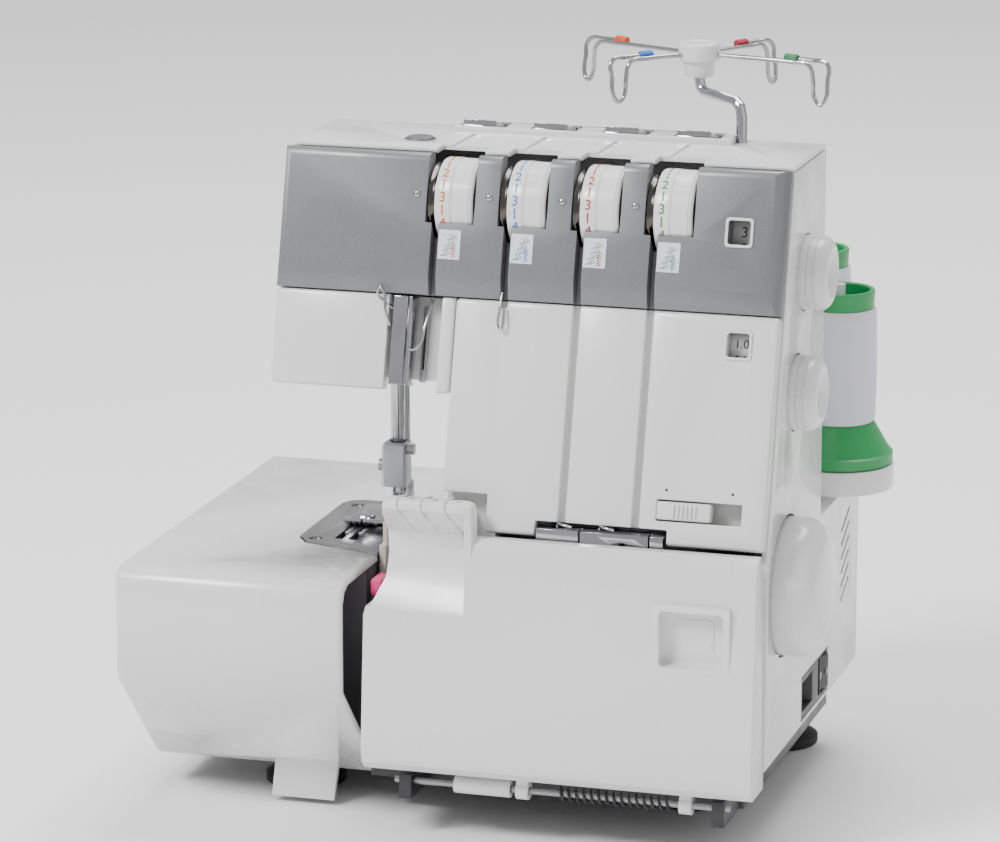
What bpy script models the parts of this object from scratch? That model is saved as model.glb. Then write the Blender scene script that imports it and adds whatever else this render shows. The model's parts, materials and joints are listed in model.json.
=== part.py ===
"""Serger overlock machine: casings, frame, drive, needle, presser, loopers, dials and thread stand.

Metres, +Z up, front towards -Y, handwheel on the +X side, origin on the table under the middle.
"""
import math

import bmesh
import bpy
from mathutils import Matrix, Vector

# ---- overall sizes -------------------------------------------------------------------------
overall_width = 0.340       # side cover to the right end of the spool tray
overall_depth = 0.278       # side cover front to the back of the spool tray
platform_height = 0.125     # sewing platform above the table
top_height = 0.323          # top cover above the table

# ---- shared sizes --------------------------------------------------------------------------
wall = 0.0025               # moulded casing wall
gap = 0.0004                # clearance between pieces that meet
running_gap = 0.0008        # clearance round pieces that move
face_lean = math.radians(15)
moulding = 0.007            # depth of the front mouldings
tray_overhang = 0.025       # spool tray beyond the right casing
tray_setback = 0.049        # spool tray beyond the rear casing
face_setback = 0.022        # foot of the leaning face behind the front
arm_depth = 0.119           # foot of the leaning face to the back of the arm
column_width = 0.158
face_rise = 0.029           # foot of the leaning face above the platform
arm_clearance = 0.089       # underside of the arm above the platform

left = -overall_width / 2
front = -overall_depth / 2
side_x = overall_width / 2 - tray_overhang
rear_y = overall_depth / 2 - tray_setback
foot_y = front + face_setback
foot_z = platform_height + face_rise
arm_back = foot_y + arm_depth
arm_under = platform_height + arm_clearance
column_left = side_x - column_width
needle_x = column_left - 0.0515
needle_y = arm_back - 0.022
arm_left = needle_x - 0.0385
trough_depth = 0.0160       # recess that the needle guard stands in
bed_left = column_left - 0.037
bed_front = foot_y + 0.059  # front edge of the fixed bed beside the column
casing_front = foot_y + 0.0055
casing_foot = 0.042
shelf_height = platform_height + 0.013
panel_foot = top_height - 0.066
panel_proud = 0.003         # grey moulding in front of the white one
notch_right = column_left + 0.0225
notch_top = platform_height + 0.043

# thread channels and tension dials
channel_first = column_left - 0.012
channel_pitch = 0.03575
channel_width = 0.0036
channel_depth = 0.0050
dial_radius = 0.021
dial_width = 0.0188
dial_offset = 0.0086        # dial middle to the right of its channel
dial_at = (arm_back - 0.0648, top_height - 0.025)
dial_post_radius = 0.0030
disc_radius = 0.0185

# side controls
knob_radius = 0.018
knob_reach = 0.013
stitch_knob_at = (arm_back - 0.040, top_height - 0.055)
feed_knob_at = (arm_back - 0.058, top_height - 0.1095)
knob_depth = 0.005
drum_radius = 0.011
stitch_window = (side_x - 0.0220, top_height - 0.0295)
feed_window = (side_x - 0.0195, top_height - 0.0800)
window_width = 0.0110
window_height = 0.0112
stitch_drum = (side_x - 0.0290, side_x - 0.0150)
feed_drum = (side_x - 0.0260, side_x - 0.0130)
selector_left = side_x - 0.0530
selector_height = platform_height + 0.0415
selector_length = 0.0410
slide_length = 0.0258

# drive
wheel_at = (foot_y + 0.046, platform_height - 0.0024)
wheel_radius = 0.0332
wheel_reach = 0.0215
shaft_radius = 0.005
pulley_radius = 0.030
motor_pulley_radius = 0.008
pulley_width = 0.010
pulley_x = side_x - 0.027
belt_thickness = 0.0016
motor_at = (rear_y - 0.045, 0.075)
motor_radius = 0.027
motor_length = 0.082

# needle and presser
needle_bar_radius = 0.0035
presser_bar_radius = 0.0032
presser_y = needle_y + 0.010
clamp_foot = platform_height + 0.0195
plate_top = platform_height + 0.001
plate_thickness = 0.0035
sole_foot = platform_height + 0.0016
beam_foot = top_height - 0.051
beam_top = top_height - 0.031
floor_top = arm_under + wall

# covers
cover_right = bed_left - 0.0050
cover_foot = 0.0164
cover_slope = 0.0536        # height of the slope at the foot of the side cover
cover_pivot = (bed_left - 0.010, rear_y + 0.003)
looper_cover_left = column_left - 0.033
looper_cover_foot = 0.034
looper_cover_top = foot_z - 0.0045
looper_cover_back = foot_y + 0.005
guard_left = column_left - 0.025
guard_right = column_left + 0.021
guard_back_right = guard_right - 0.0090
guard_top = platform_height + 0.042
guard_foot = platform_height - 0.003
scoop_rim = platform_height - 0.0150
thumb_at = (side_x - 0.0305, platform_height - 0.0150)
rod_radius = 0.0017
rod_at = (front + 0.014, 0.027)
lug_places = (looper_cover_left + 0.016, side_x - 0.021)
lug_width = 0.006
sleeve_left = column_left + 0.010
sleeve_length = 0.028
eye_places = (sleeve_left + sleeve_length + 0.003, side_x - 0.037)
eye_width = 0.006
guide_left = side_x - 0.1100
guide_right = side_x - 0.0484

# feet and base
foot_height = 0.018
foot_radius = 0.020
base_thickness = 0.006
base_left = left + 0.052
base_front = casing_front + 0.0135
foot_places = (
    (base_left + 0.0172, foot_y + 0.0585),
    (side_x - 0.0536, foot_y + 0.0812),
    (base_left + 0.018, rear_y - 0.020),
    (side_x - 0.035, rear_y - 0.020),
)

# thread stand and spools
pole_at = (side_x - 0.040, arm_back - 0.008)
pole_radius = 0.0028
pole_foot = top_height - 0.133
hub_at = (side_x - 0.0665, arm_back + 0.013)
hub_top = top_height + 0.044
crank_height = top_height + 0.019
wire_radius = 0.0009
wire_height = hub_top - 0.0055
loop_places = ((-0.060, 0.024), (-0.029, -0.031), (0.025, 0.040), (0.0605, -0.015))
loop_drop = 0.0205
tray_foot = shelf_height + 0.004
tray_top = shelf_height + 0.016
back_row_rise = 0.008
cone_radius = 0.0274
cone_height = 0.087
pin_radius = 0.0030
seat_radius = 0.028
cone_places = (
    (side_x - 0.117, overall_depth / 2 - 0.086, 0.0),
    (side_x - 0.108, overall_depth / 2 - seat_radius, back_row_rise),
    (side_x - 0.029, overall_depth / 2 - seat_radius, back_row_rise),
    (overall_width / 2 - seat_radius, overall_depth / 2 - 0.086, 0.0),
)
bar_left = channel_first - 0.011
bar_right = channel_first + 3 * channel_pitch + 0.0208
bar_front = arm_back - 0.019
bar_back = arm_back - 0.005
bar_top = top_height + 0.003
screw_at = (needle_x + 0.0185, arm_back - 0.0416)
screw_radius = 0.0072
switch_low = (rear_y - 0.086, 0.044)
switch_high = (rear_y - 0.0665, 0.066)
inlet_low = (rear_y - 0.124, 0.044)

# hooks and blades under the plate
upper_looper_at = (needle_x - 0.0090, needle_y - 0.0070, 0.072)
lower_looper_at = (needle_x - 0.0120, needle_y - 0.0130, 0.068)
looper_height = platform_height - 0.0150
knife_right = cover_right + 0.0030
block_top = platform_height - 0.0025
lever_floor = platform_height - 0.0135

white = ("white_plastic", (0.86, 0.86, 0.85), 0.35, 0.0)
grey = ("grey_plastic", (0.36, 0.37, 0.38), 0.35, 0.4)
chrome = ("chrome", (0.75, 0.76, 0.78), 0.12, 1.0)
steel = ("steel", (0.52, 0.52, 0.52), 0.35, 1.0)
dark_steel = ("dark_steel", (0.16, 0.16, 0.165), 0.45, 0.9)
cast = ("cast_alloy", (0.45, 0.46, 0.47), 0.6, 0.7)
rubber = ("black_rubber", (0.02, 0.02, 0.02), 0.8, 0.0)
black = ("black_plastic", (0.03, 0.03, 0.03), 0.4, 0.0)
pink = ("pink_plastic", (0.85, 0.18, 0.36), 0.35, 0.0)
green = ("green_plastic", (0.12, 0.55, 0.27), 0.4, 0.0)
copper = ("motor_shell", (0.35, 0.36, 0.38), 0.5, 0.8)



# ---- tools ---------------------------------------------------------------------------------
def start_scene():
    for item in list(bpy.data.objects):
        bpy.data.objects.remove(item, do_unlink=True)
    for name in ("serger_overlock_machine", "cutters"):
        made = bpy.data.collections.new(name)
        bpy.context.scene.collection.children.link(made)


def look_of(look):
    name, colour, roughness, metallic = look
    made = bpy.data.materials.get(name)
    if made is None:
        made = bpy.data.materials.new(name)
        made.use_nodes = True
        shader = made.node_tree.nodes["Principled BSDF"]
        shader.inputs["Base Color"].default_value = (*colour, 1.0)
        shader.inputs["Roughness"].default_value = roughness
        shader.inputs["Metallic"].default_value = metallic
    return made


def add(name, data, look, place=None):
    """Link data as a named part, or as a cutter when it has no look."""
    item = bpy.data.objects.new(name, data)
    if look is None:
        bpy.data.collections["cutters"].objects.link(item)
        item.hide_render = True
        item.display_type = "WIRE"
    else:
        bpy.data.collections["serger_overlock_machine"].objects.link(item)
        data.materials.append(look_of(look))
    if place is not None:
        item.matrix_world = place
    return item


def bevel(item, width, segments=2, angle=30):
    tool = item.modifiers.new("soft_edges", "BEVEL")
    tool.width = width
    tool.segments = segments
    tool.limit_method = "ANGLE"
    tool.angle_limit = math.radians(angle)
    return item


def box(name, low, high, look=None, soft=0.0, segments=2, place=None):
    """A block between two corners, in the frame given by place."""
    low, high = Vector(low), Vector(high)
    data = bpy.data.meshes.new(name)
    form = bmesh.new()
    bmesh.ops.create_cube(form, size=1.0, matrix=Matrix.Diagonal((*(high - low), 1.0)))
    form.to_mesh(data)
    form.free()
    item = add(name, data, look, (place or Matrix()) @ Matrix.Translation((low + high) / 2))
    if soft:
        bevel(item, soft, segments)
    return item


def along(start, end):
    """A frame at the middle of a line, with local Z along it."""
    start, end = Vector(start), Vector(end)
    turn = (end - start).to_track_quat("Z", "Y").to_matrix().to_4x4()
    return Matrix.Translation((start + end) / 2) @ turn


def rod(name, start, end, radius, look=None, sides=24, far_radius=None, soft=0.0):
    """A round bar between two points, or a cone when far_radius is given."""
    data = bpy.data.meshes.new(name)
    form = bmesh.new()
    length = (Vector(end) - Vector(start)).length
    far = radius if far_radius is None else far_radius
    bmesh.ops.create_cone(form, cap_ends=True, segments=sides, radius1=radius, radius2=far, depth=length)
    form.to_mesh(data)
    form.free()
    data.shade_smooth()
    data.set_sharp_from_angle(angle=math.radians(40))
    item = add(name, data, look, along(start, end))
    if soft:
        bevel(item, soft, 1, 60)
    return item


def turned(name, profile, place, look=None, steps=32):
    """A profile of (radius, height) points, from the top down the outer side, turned about local Z."""
    data = bpy.data.meshes.new(name)
    form = bmesh.new()
    points = [form.verts.new((r, 0.0, h)) for r, h in profile]
    for first, second in zip(points, points[1:]):
        form.edges.new((first, second))
    if profile[0][0] > 0.0:
        form.edges.new((points[-1], points[0]))
    form.to_mesh(data)
    form.free()
    item = add(name, data, look, place)
    tool = item.modifiers.new("turn", "SCREW")
    tool.steps = tool.render_steps = steps
    tool.use_merge_vertices = True
    tool.merge_threshold = 0.00001
    return item


def settle(item):
    """Turn an object into its finished, welded mesh."""
    bpy.context.view_layer.update()
    shape = item.evaluated_get(bpy.context.evaluated_depsgraph_get())
    data = bpy.data.meshes.new_from_object(shape)
    data.materials.clear()
    form = bmesh.new()
    form.from_mesh(data)
    bmesh.ops.remove_doubles(form, verts=form.verts, dist=0.000001)
    form.to_mesh(data)
    form.free()
    return data


def outline(name, points, low, high, across, look=None, soft=0.0, segments=2, place=None):
    """A flat outline given thickness from low to high along the axis named by across."""
    axes = {
        "x": ((0, 1, 0), (0, 0, 1), (1, 0, 0)),
        "y": ((1, 0, 0), (0, 0, 1), (0, -1, 0)),
        "z": ((1, 0, 0), (0, 1, 0), (0, 0, 1)),
    }[across]
    middle = (low + high) / 2 * (-1 if across == "y" else 1)
    curve = bpy.data.curves.new(name, "CURVE")
    curve.dimensions = "2D"
    curve.fill_mode = "BOTH"
    curve.extrude = (high - low) / 2
    line = curve.splines.new("POLY")
    line.points.add(len(points) - 1)
    for spot, point in zip(line.points, points):
        spot.co = (point[0], point[1], 0.0, 1.0)
    line.use_cyclic_u = True
    turn = Matrix(axes).transposed().to_4x4() @ Matrix.Translation((0, 0, middle))
    draft = add(name + "_draft", curve, None, (place or Matrix()) @ turn)
    data = settle(draft)
    where = draft.matrix_world.copy()
    bpy.data.objects.remove(draft, do_unlink=True)
    item = add(name, data, look, where)
    if soft:
        bevel(item, soft, segments)
    return item


def wire(name, points, radius, look=None, closed=False, resolution=2):
    """A round wire along a list of points, welded shut."""
    curve = bpy.data.curves.new(name, "CURVE")
    curve.dimensions = "3D"
    curve.bevel_depth = radius
    curve.bevel_resolution = resolution
    curve.use_fill_caps = not closed
    line = curve.splines.new("POLY")
    line.points.add(len(points) - 1)
    for spot, point in zip(line.points, points):
        spot.co = (*point, 1.0)
    line.use_cyclic_u = closed
    draft = add(name + "_draft", curve, None)
    data = settle(draft)
    bpy.data.objects.remove(draft, do_unlink=True)
    return add(name, data, look)


def combine(item, others, operation):
    for other in others:
        tool = item.modifiers.new(other.name, "BOOLEAN")
        tool.operation = operation
        tool.object = other
        tool.solver = "EXACT"
    return item


def cut(item, *others):
    return combine(item, others, "DIFFERENCE")


def join(item, *others):
    return combine(item, others, "UNION")


def hang(name, place, *items):
    """Parent pieces to an empty on their joint's axis, leaving them where they are."""
    pivot = bpy.data.objects.new(name, None)
    bpy.data.collections["serger_overlock_machine"].objects.link(pivot)
    pivot.location = place
    bpy.context.view_layer.update()
    for item in items:
        item.parent = pivot
        item.matrix_parent_inverse = pivot.matrix_world.inverted()


def arc(middle, radius, start, end, count):
    """Points on an arc, angles in degrees."""
    turns = [math.radians(start + (end - start) * i / (count - 1)) for i in range(count)]
    return [(middle[0] + radius * math.cos(t), middle[1] + radius * math.sin(t)) for t in turns]


# ---- the leaning face ----------------------------------------------------------------------
def face_y(height):
    return foot_y + (height - foot_z) * math.tan(face_lean)


def face_frame(x, height):
    """A frame on the face: local X right, local Y up the face, local Z outwards."""
    up = Vector((0, math.sin(face_lean), math.cos(face_lean)))
    outward = Vector((0, -math.cos(face_lean), math.sin(face_lean)))
    turn = Matrix((Vector((1, 0, 0)), up, outward)).transposed().to_4x4()
    return Matrix.Translation((x, face_y(height), height)) @ turn


def on_face(x, height, out=0.0):
    return face_frame(x, height) @ Vector((0, 0, out))


def face_length(low, high):
    return (high - low) / math.cos(face_lean)


def channel_x(number):
    return channel_first + channel_pitch * number


def face_box(name, x_low, x_high, low, high, deep, out=0.01, look=None, soft=0.0):
    """A block lying in the leaning face between two heights."""
    return box(name, (x_low, 0.0, -deep), (x_high, face_length(low, high), out), look, soft,
               place=face_frame(0.0, low))


def channel_cutter(number, low, high, deep=channel_depth):
    middle = channel_x(number)
    half = channel_width / 2
    return face_box(f"channel_{number}_cut", middle - half, middle + half, low, high, deep)


def across_side(name, at, radius):
    """A round cutter through the right side."""
    return rod(name, (side_x - 0.03, *at), (side_x + 0.03, *at), radius, sides=40)


# ---- casings -------------------------------------------------------------------------------
def arm_section(inset):
    """The arm and column seen from the side, inset by a wall."""
    low = platform_height - 0.010
    top = top_height - inset
    return [
        (face_y(low), low),
        (face_y(top), top),
        (arm_back - inset, top),
        (arm_back - inset, low),
    ]


def rear_casing():
    """Right side, back, underside of the arm, bed and raised rear shelf, as one moulding."""
    bed_top = platform_height
    shell = outline("rear_casing", arm_section(0.0), arm_left, side_x, "x", white)
    cut(
        shell,
        box("under_arm", (left, front - 0.1, 0.0), (column_left, rear_y, arm_under)),
        box("low_mouth", (bed_left - 0.01, front - 0.05, 0.0), (side_x + 0.01, casing_front, foot_z - 0.004)),
        face_box("face_mouth", arm_left - 0.01, side_x + 0.01, 0.10, top_height + 0.05, moulding + gap, 0.2),
    )
    join(
        shell,
        box("bed_block", (bed_left, casing_front, casing_foot), (side_x, rear_y, bed_top)),
        box("shelf_block", (column_left, casing_front, casing_foot), (side_x, rear_y, shelf_height)),
    )
    inside = [(y - 0.03 if i < 2 else y, z) for i, (y, z) in enumerate(arm_section(wall))]
    hollow = outline("arm_hollow", inside, arm_left + wall, side_x - wall, "x")
    cut(hollow, box("arm_floor", (left, front - 0.1, 0.0), (column_left + wall, rear_y, arm_under + wall)))
    cut(
        shell,
        hollow,
        box("bed_hollow", (bed_left + wall, front, 0.0), (side_x - wall, rear_y - wall, bed_top - wall)),
        box("shelf_hollow", (column_left + wall, front, 0.0), (side_x - wall, rear_y - wall, shelf_height - wall)),
        box("bed_mouth", (bed_left - 0.01, front, 0.0), (column_left - gap, bed_front, platform_height + 0.01)),
        box("notch_mouth", (column_left - 0.01, front, platform_height - 0.045),
            (column_left + wall + 0.001, foot_y + 0.014, notch_top)),
        face_box("trough_mouth", needle_x + 0.0146, column_left, arm_under - 0.01, panel_foot, trough_depth + gap, 0.1),
        box("top_mouth", (arm_left - 0.01, front, top_height - wall - gap), (side_x + 0.01, rear_y, top_height + 0.1)),
        across_side("stitch_hole", stitch_knob_at, knob_radius + running_gap),
        across_side("feed_hole", feed_knob_at, knob_radius + running_gap),
        across_side("wheel_hole", wheel_at, wheel_radius + running_gap + 0.0005),
        box("power_hole", (side_x - 0.01, inlet_low[0] - gap, inlet_low[1] - gap),
            (side_x + 0.01, switch_high[0] + gap, switch_high[1] + gap)),
    )
    for number, spacing in enumerate((needle_y, presser_y)):
        cut(shell, rod(f"bar_opening_{number}", (needle_x, spacing, arm_under - 0.01),
                       (needle_x, spacing, arm_under + 0.01), needle_bar_radius + running_gap, sides=24))
    for row in range(6):
        height = platform_height - 0.003 - 0.0072 * row
        place = Matrix.Translation((side_x, rear_y - 0.030, height)) @ Matrix.Rotation(math.radians(25), 4, "X")
        cut(shell, box(f"vent_{row}", (-0.01, -0.010, -0.0014), (0.01, 0.010, 0.0014), place=place))
    return shell


def face_panel():
    """Proud grey moulding over head and column, with channels, dial windows and a number window."""
    reach = face_length(panel_foot, top_height - 0.0005)
    deep = moulding
    profile = [(0.0, -deep), (0.0, 0.0), (0.0105, panel_proud)]
    profile += arc((reach - 0.0045, panel_proud - 0.0045), 0.0045, 90, 0, 5)
    profile += [(reach, -deep)]
    panel = outline("face_panel", profile, arm_left, side_x - gap, "x", grey, place=face_frame(0.0, panel_foot))
    plan = [(arm_left - 0.001, -deep - 0.001), (side_x + 0.001, -deep - 0.001), (side_x + 0.001, -0.0065)]
    plan += arc((side_x - 0.0095, panel_proud - 0.0095), 0.0095, 0, 90, 6)
    plan += [(side_x - 0.0095, 0.02), (arm_left + 0.0035, 0.02), (arm_left + 0.0035, panel_proud),
             (arm_left + 0.001, panel_proud - 0.001), (arm_left - 0.001, -0.003)]
    rounding = outline("panel_rounding", plan, -0.01, reach + 0.01, "y", place=face_frame(0.0, panel_foot))
    combine(panel, [rounding], "INTERSECT")
    for number in range(4):
        middle = channel_x(number)
        right = middle + dial_offset + dial_width / 2 + running_gap
        cut(
            panel,
            channel_cutter(number, panel_foot - 0.01, top_height + 0.01),
            box(f"dial_window_{number}", (middle - 0.0052, front, dial_at[1]), (right, 0.0, top_height + 0.02)),
            rod(f"dial_space_{number}", (middle - 0.0052, *dial_at), (right, *dial_at), dial_radius + running_gap,
                sides=48),
        )
    x, height = stitch_window
    half = window_width / 2
    rise = window_height / 2
    return cut(panel, face_box("stitch_window_cut", x - half, x + half, height - rise, height + rise, 0.02, 0.02))


def column_cover():
    """White front of the column, with two long thread channels, a window and the selector slot."""
    foot = foot_z - 0.0035
    low = foot - 0.002
    panel = face_box("column_cover", column_left, side_x - gap, foot, panel_foot - gap, moulding, 0.0, white)
    bevel(panel, 0.0020, 2)
    x, height = feed_window
    half = window_width / 2
    rise = window_height / 2
    cut(
        panel,
        face_box("guard_notch", column_left - 0.03, notch_right, low - 0.02, notch_top, 0.02),
        face_box("guide_notch", guide_left - 0.0012, guide_right + 0.0012, low - 0.02, foot_z + 0.0036, 0.02),
        face_box("selector_slot", selector_left, selector_left + selector_length, selector_height - 0.0049,
                 selector_height + 0.0049, 0.02),
        face_box("feed_window_cut", x - half, x + half, height - rise, height + rise, 0.02),
        channel_cutter(2, low - 0.02, panel_foot + 0.01),
        channel_cutter(3, low - 0.02, panel_foot + 0.01),
        channel_cutter(1, panel_foot - 0.004, panel_foot + 0.01),
    )
    return panel


def head_cover():
    """White front of the head, with a deep recess beside the column for the needle guard."""
    right = column_left - gap
    deep = trough_depth
    cover = face_box("head_cover", arm_left, right, arm_under - 0.0015, panel_foot - gap, moulding, 0.0, white)
    bevel(cover, 0.0020, 2)
    trough = face_box("trough", needle_x + 0.0150, right, arm_under + 0.0040, panel_foot - gap, deep, -0.002)
    channel = face_box("trough_cut", needle_x + 0.0185, column_left - 0.0065, arm_under - 0.02, panel_foot + 0.01,
                       deep - 0.002, 0.02)
    join(cover, trough)
    return cut(cover, channel)


def top_cover():
    """Top moulding with its raised rear bar, thread grooves, and holes for pole and screw."""
    low = top_height - wall
    edge = face_y(top_height) + moulding + 0.0015
    cover = box("top_cover", (arm_left, edge, low), (side_x, arm_back - 0.0005, top_height), white, 0.0008, 1)
    join(cover, box("guide_bar", (bar_left, bar_front, low + 0.0005), (bar_right, bar_back, bar_top), None, 0.0008, 1))
    for number in range(4):
        middle = channel_x(number) + 0.001
        right = channel_x(number) + dial_offset + dial_width / 2 + running_gap
        cut(
            cover,
            box(f"top_groove_{number}", (middle - 0.0016, edge - 0.01, top_height - 0.0012),
                (middle + 0.0016, bar_front - 0.002, top_height + 0.01)),
            box(f"top_window_{number}", (channel_x(number) - 0.0052, edge - 0.01, low - 0.01),
                (right, dial_at[0] + 0.0105, top_height + 0.01)),
        )
        seat = channel_x(number) + 0.0030
        cut(cover, box(f"guide_seat_{number}", (seat - 0.0118, bar_front + 0.0012, bar_top - 0.0016),
                       (seat + 0.0118, bar_back + 0.01, bar_top + 0.01)))
    cut(
        cover,
        rod("pole_hole", (*pole_at, low - 0.01), (*pole_at, bar_top + 0.01), pole_radius + 0.0006, sides=28),
        rod("screw_hole", (*screw_at, low - 0.01), (*screw_at, top_height + 0.01), screw_radius + running_gap,
            sides=28),
    )
    return cover


def cover_outline(inset):
    """The side cover seen from the right, sloping in at the foot of its front."""
    back = rear_y + 0.007
    top = platform_height - inset
    low = cover_foot - 4 * inset
    return [
        (front + inset, cover_foot + cover_slope + inset * 0.414),
        (front + inset, top - 0.008),
        (front + 0.0025 + inset, top - 0.0025),
        (front + 0.008 + inset, top),
        (back - 0.006 - inset, top),
        (back - inset, top - 0.006),
        (back - inset, low),
        (front + cover_slope + 5.414 * inset, low),
    ]


def side_cover():
    """Cloth plate and side cover: a shell open below and to the right, with a finger tab."""
    right = cover_right
    shell = outline("side_cover", cover_outline(0.0), left, right, "x", white)
    bevel(shell, 0.0060, 3, 60)
    hollow = outline("side_cover_hollow", cover_outline(wall), left + wall, right + 0.02, "x")
    pivot_x, pivot_y = cover_pivot
    cut(
        shell,
        hollow,
        outline("plate_space", plate_outline(-0.0006), platform_height - 0.02, platform_height + 0.02, "z"),
        box("beside_plate", (plate_right - 0.0008, plate_front - 0.0006, platform_height - 0.02),
            (right + 0.01, plate_back + 0.0006, platform_height + 0.02)),
        box("behind_pivot", (pivot_x, plate_back + 0.01, 0.0), (right + 0.01, rear_y + 0.02, platform_height - wall)),
    )
    foot = front + cover_slope
    tab = outline("finger_tab", [(foot - 0.0040, cover_foot + 0.0050), (foot - 0.0008, cover_foot + 0.0020),
                                 (foot - 0.0080, 0.0028), (foot - 0.0105, 0.0028)],
                  left + 0.064, left + 0.096, "x")
    return join(shell, tab)


plate_right = cover_right - 0.0010
plate_left = plate_right - 0.046
plate_front = needle_y - 0.062
plate_back = needle_y + 0.034


def plate_outline(inset):
    """Needle plate seen from above, with a cut front left corner and a round rear left one."""
    west = plate_left + inset
    east = plate_right - inset
    south = plate_front + inset
    north = plate_back - inset
    return [(west, south + 0.022), (west + 0.006, south + 0.013), (east, south), (east, north), (west + 0.009, north),
            (west + 0.003, north - 0.003), (west, north - 0.009)]


def needle_plate():
    plate = outline("needle_plate", plate_outline(0.0), plate_top - plate_thickness, plate_top, "z", chrome)
    low = plate_top - 0.01
    high = plate_top + 0.01
    for number, x in enumerate((needle_x - 0.0175, needle_x - 0.0105)):
        cut(plate, box(f"feed_slot_{number}", (x - 0.0021, needle_y - 0.042, low), (x + 0.0021, needle_y + 0.022, high)))
    cut(plate, box("needle_slot", (needle_x - 0.0040, needle_y - 0.0040, low), (needle_x + 0.0040, needle_y + 0.0022, high)))
    for number, y in enumerate((needle_y - 0.044, needle_y + 0.022)):
        cut(plate, rod(f"plate_screw_{number}", (plate_left + 0.009, y, plate_top - 0.0008),
                       (plate_left + 0.009, y, high), 0.0034, sides=20))
    return plate


def looper_block():
    """Dark metal bed under the needle plate, open where hooks, feed dog and needles work."""
    top = platform_height - wall - gap
    x = needle_x
    y = needle_y
    block = box("looper_block", (plate_left + 0.005, y - 0.074, 0.040), (x + 0.0075, y + 0.028, top), dark_steel)
    join(
        block,
        box("knife_bed", (x - 0.005, y - 0.074, 0.040), (x + 0.030, y - 0.043, 0.086)),
        box("front_plate", (knife_right + 0.0010, y - 0.0850, 0.030), (column_left - 0.0190, y - 0.043, lever_floor)),
    )
    return cut(
        block,
        box("work_space", (x - 0.0285, y - 0.040, 0.050), (x + 0.0040, y + 0.018, top + 0.01)),
        box("side_mouth", (x, y - 0.036, 0.095), (x + 0.02, y + 0.010, top + 0.01)),
        box("left_hollow", (plate_left, y - 0.070, 0.052), (x - 0.0315, y + 0.022, top - 0.006)),
    )


def front_cover():
    """Looper cover: a shallow shell with finger guard, scoop, thumb recess and two hinge eyes."""
    low = looper_cover_foot
    top = looper_cover_top
    back = looper_cover_back
    lip = foot_y - 0.0035
    right = side_x - gap
    outer = [
        (back, low), (back, low + 0.100), (lip, top - 0.004), (lip, top), (front + 0.0130, top),
        (front + 0.0098, top - 0.0022), (front + 0.0085, top - 0.0070), (front + 0.0006, low + 0.011),
        (front + 0.0018, low + 0.0040), (front + 0.0060, low),
    ]
    inner = [
        (back + 0.01, low + wall), (back + 0.01, low + 0.103), (lip + 0.02, top - wall), (front + 0.0140, top - wall),
        (front + 0.0110, top - 0.0070), (front + 0.0031, low + 0.011), (front + 0.0048, low + 0.0048),
        (front + 0.0075, low + wall),
    ]
    cover = outline("front_cover", outer, looper_cover_left, right, "x", white)
    split = scoop_rim - 0.012
    share = (split - low - 0.011) / (top - 0.007 - low - 0.011)
    lower = [inner[0], (back + 0.01, split), (front + 0.0031 + 0.0079 * share, split), *inner[5:]]
    cut(
        cover,
        outline("looper_hollow", inner, guard_right, right - wall, "x"),
        outline("lower_hollow", lower, looper_cover_left + wall, guard_right + 0.004, "x"),
    )
    x, height = thumb_at
    guard_y = front + 0.0070
    join(
        cover,
        box("finger_guard", (guard_left, guard_y, scoop_rim + 0.004), (guard_right, lip, guard_top), None, 0.0040, 2),
        box("guard_back", (guard_left, guard_y + 0.008, guard_foot - 0.020), (guard_back_right, lip + 0.0135, guard_top - 0.004), None, 0.002, 1),
        box("thumb_pocket", (x - 0.0185, front + 0.0045, height - 0.0165), (x + 0.0185, front + 0.0155, height + 0.0165)),
    )
    under = guard_top - 0.0045
    scoop = [
        (front - 0.005, scoop_rim - 0.001), (front + 0.0062, scoop_rim), (front + 0.0100, scoop_rim + 0.0035),
        (front + 0.0205, scoop_rim + 0.0230), (front + 0.0222, scoop_rim + 0.0285), (front + 0.0205, under - 0.0140),
        (front + 0.0073, under), (front - 0.005, under),
    ]
    beside_guard = [
        (looper_cover_left - 0.01, back + 0.02), (guard_left, back + 0.02), (guard_left, front + 0.0170),
        (looper_cover_left + 0.0015, front + 0.0090), (looper_cover_left - 0.01, front + 0.0090),
    ]
    cut(
        cover,
        outline("scoop", scoop, looper_cover_left - 0.01, guard_right - 0.0045, "x"),
        outline("beside_guard", beside_guard, scoop_rim + 0.003, guard_top + 0.01, "z"),
        box("thumb_recess", (x - 0.0155, front - 0.01, height - 0.0135), (x + 0.0155, front + 0.0125, height + 0.0135), None, 0.0015, 1),
    )
    for number, spot in enumerate(eye_places):
        join(
            cover,
            rod(f"hinge_eye_{number}", (spot, *rod_at), (spot + eye_width, *rod_at), 0.0045, sides=24),
            box(f"eye_web_{number}", (spot + 0.0002, rod_at[0] - 0.003, rod_at[1]), (spot + eye_width - 0.0002, rod_at[0] + 0.003, low + 0.001)),
        )
    cut(cover, rod("eye_bore", (-0.2, *rod_at), (0.3, *rod_at), rod_radius + gap, sides=24))
    return cover


# ---- frame and base ------------------------------------------------------------------------
base_low = foot_height + gap
frame_low = foot_height + base_thickness + 2 * gap


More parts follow.
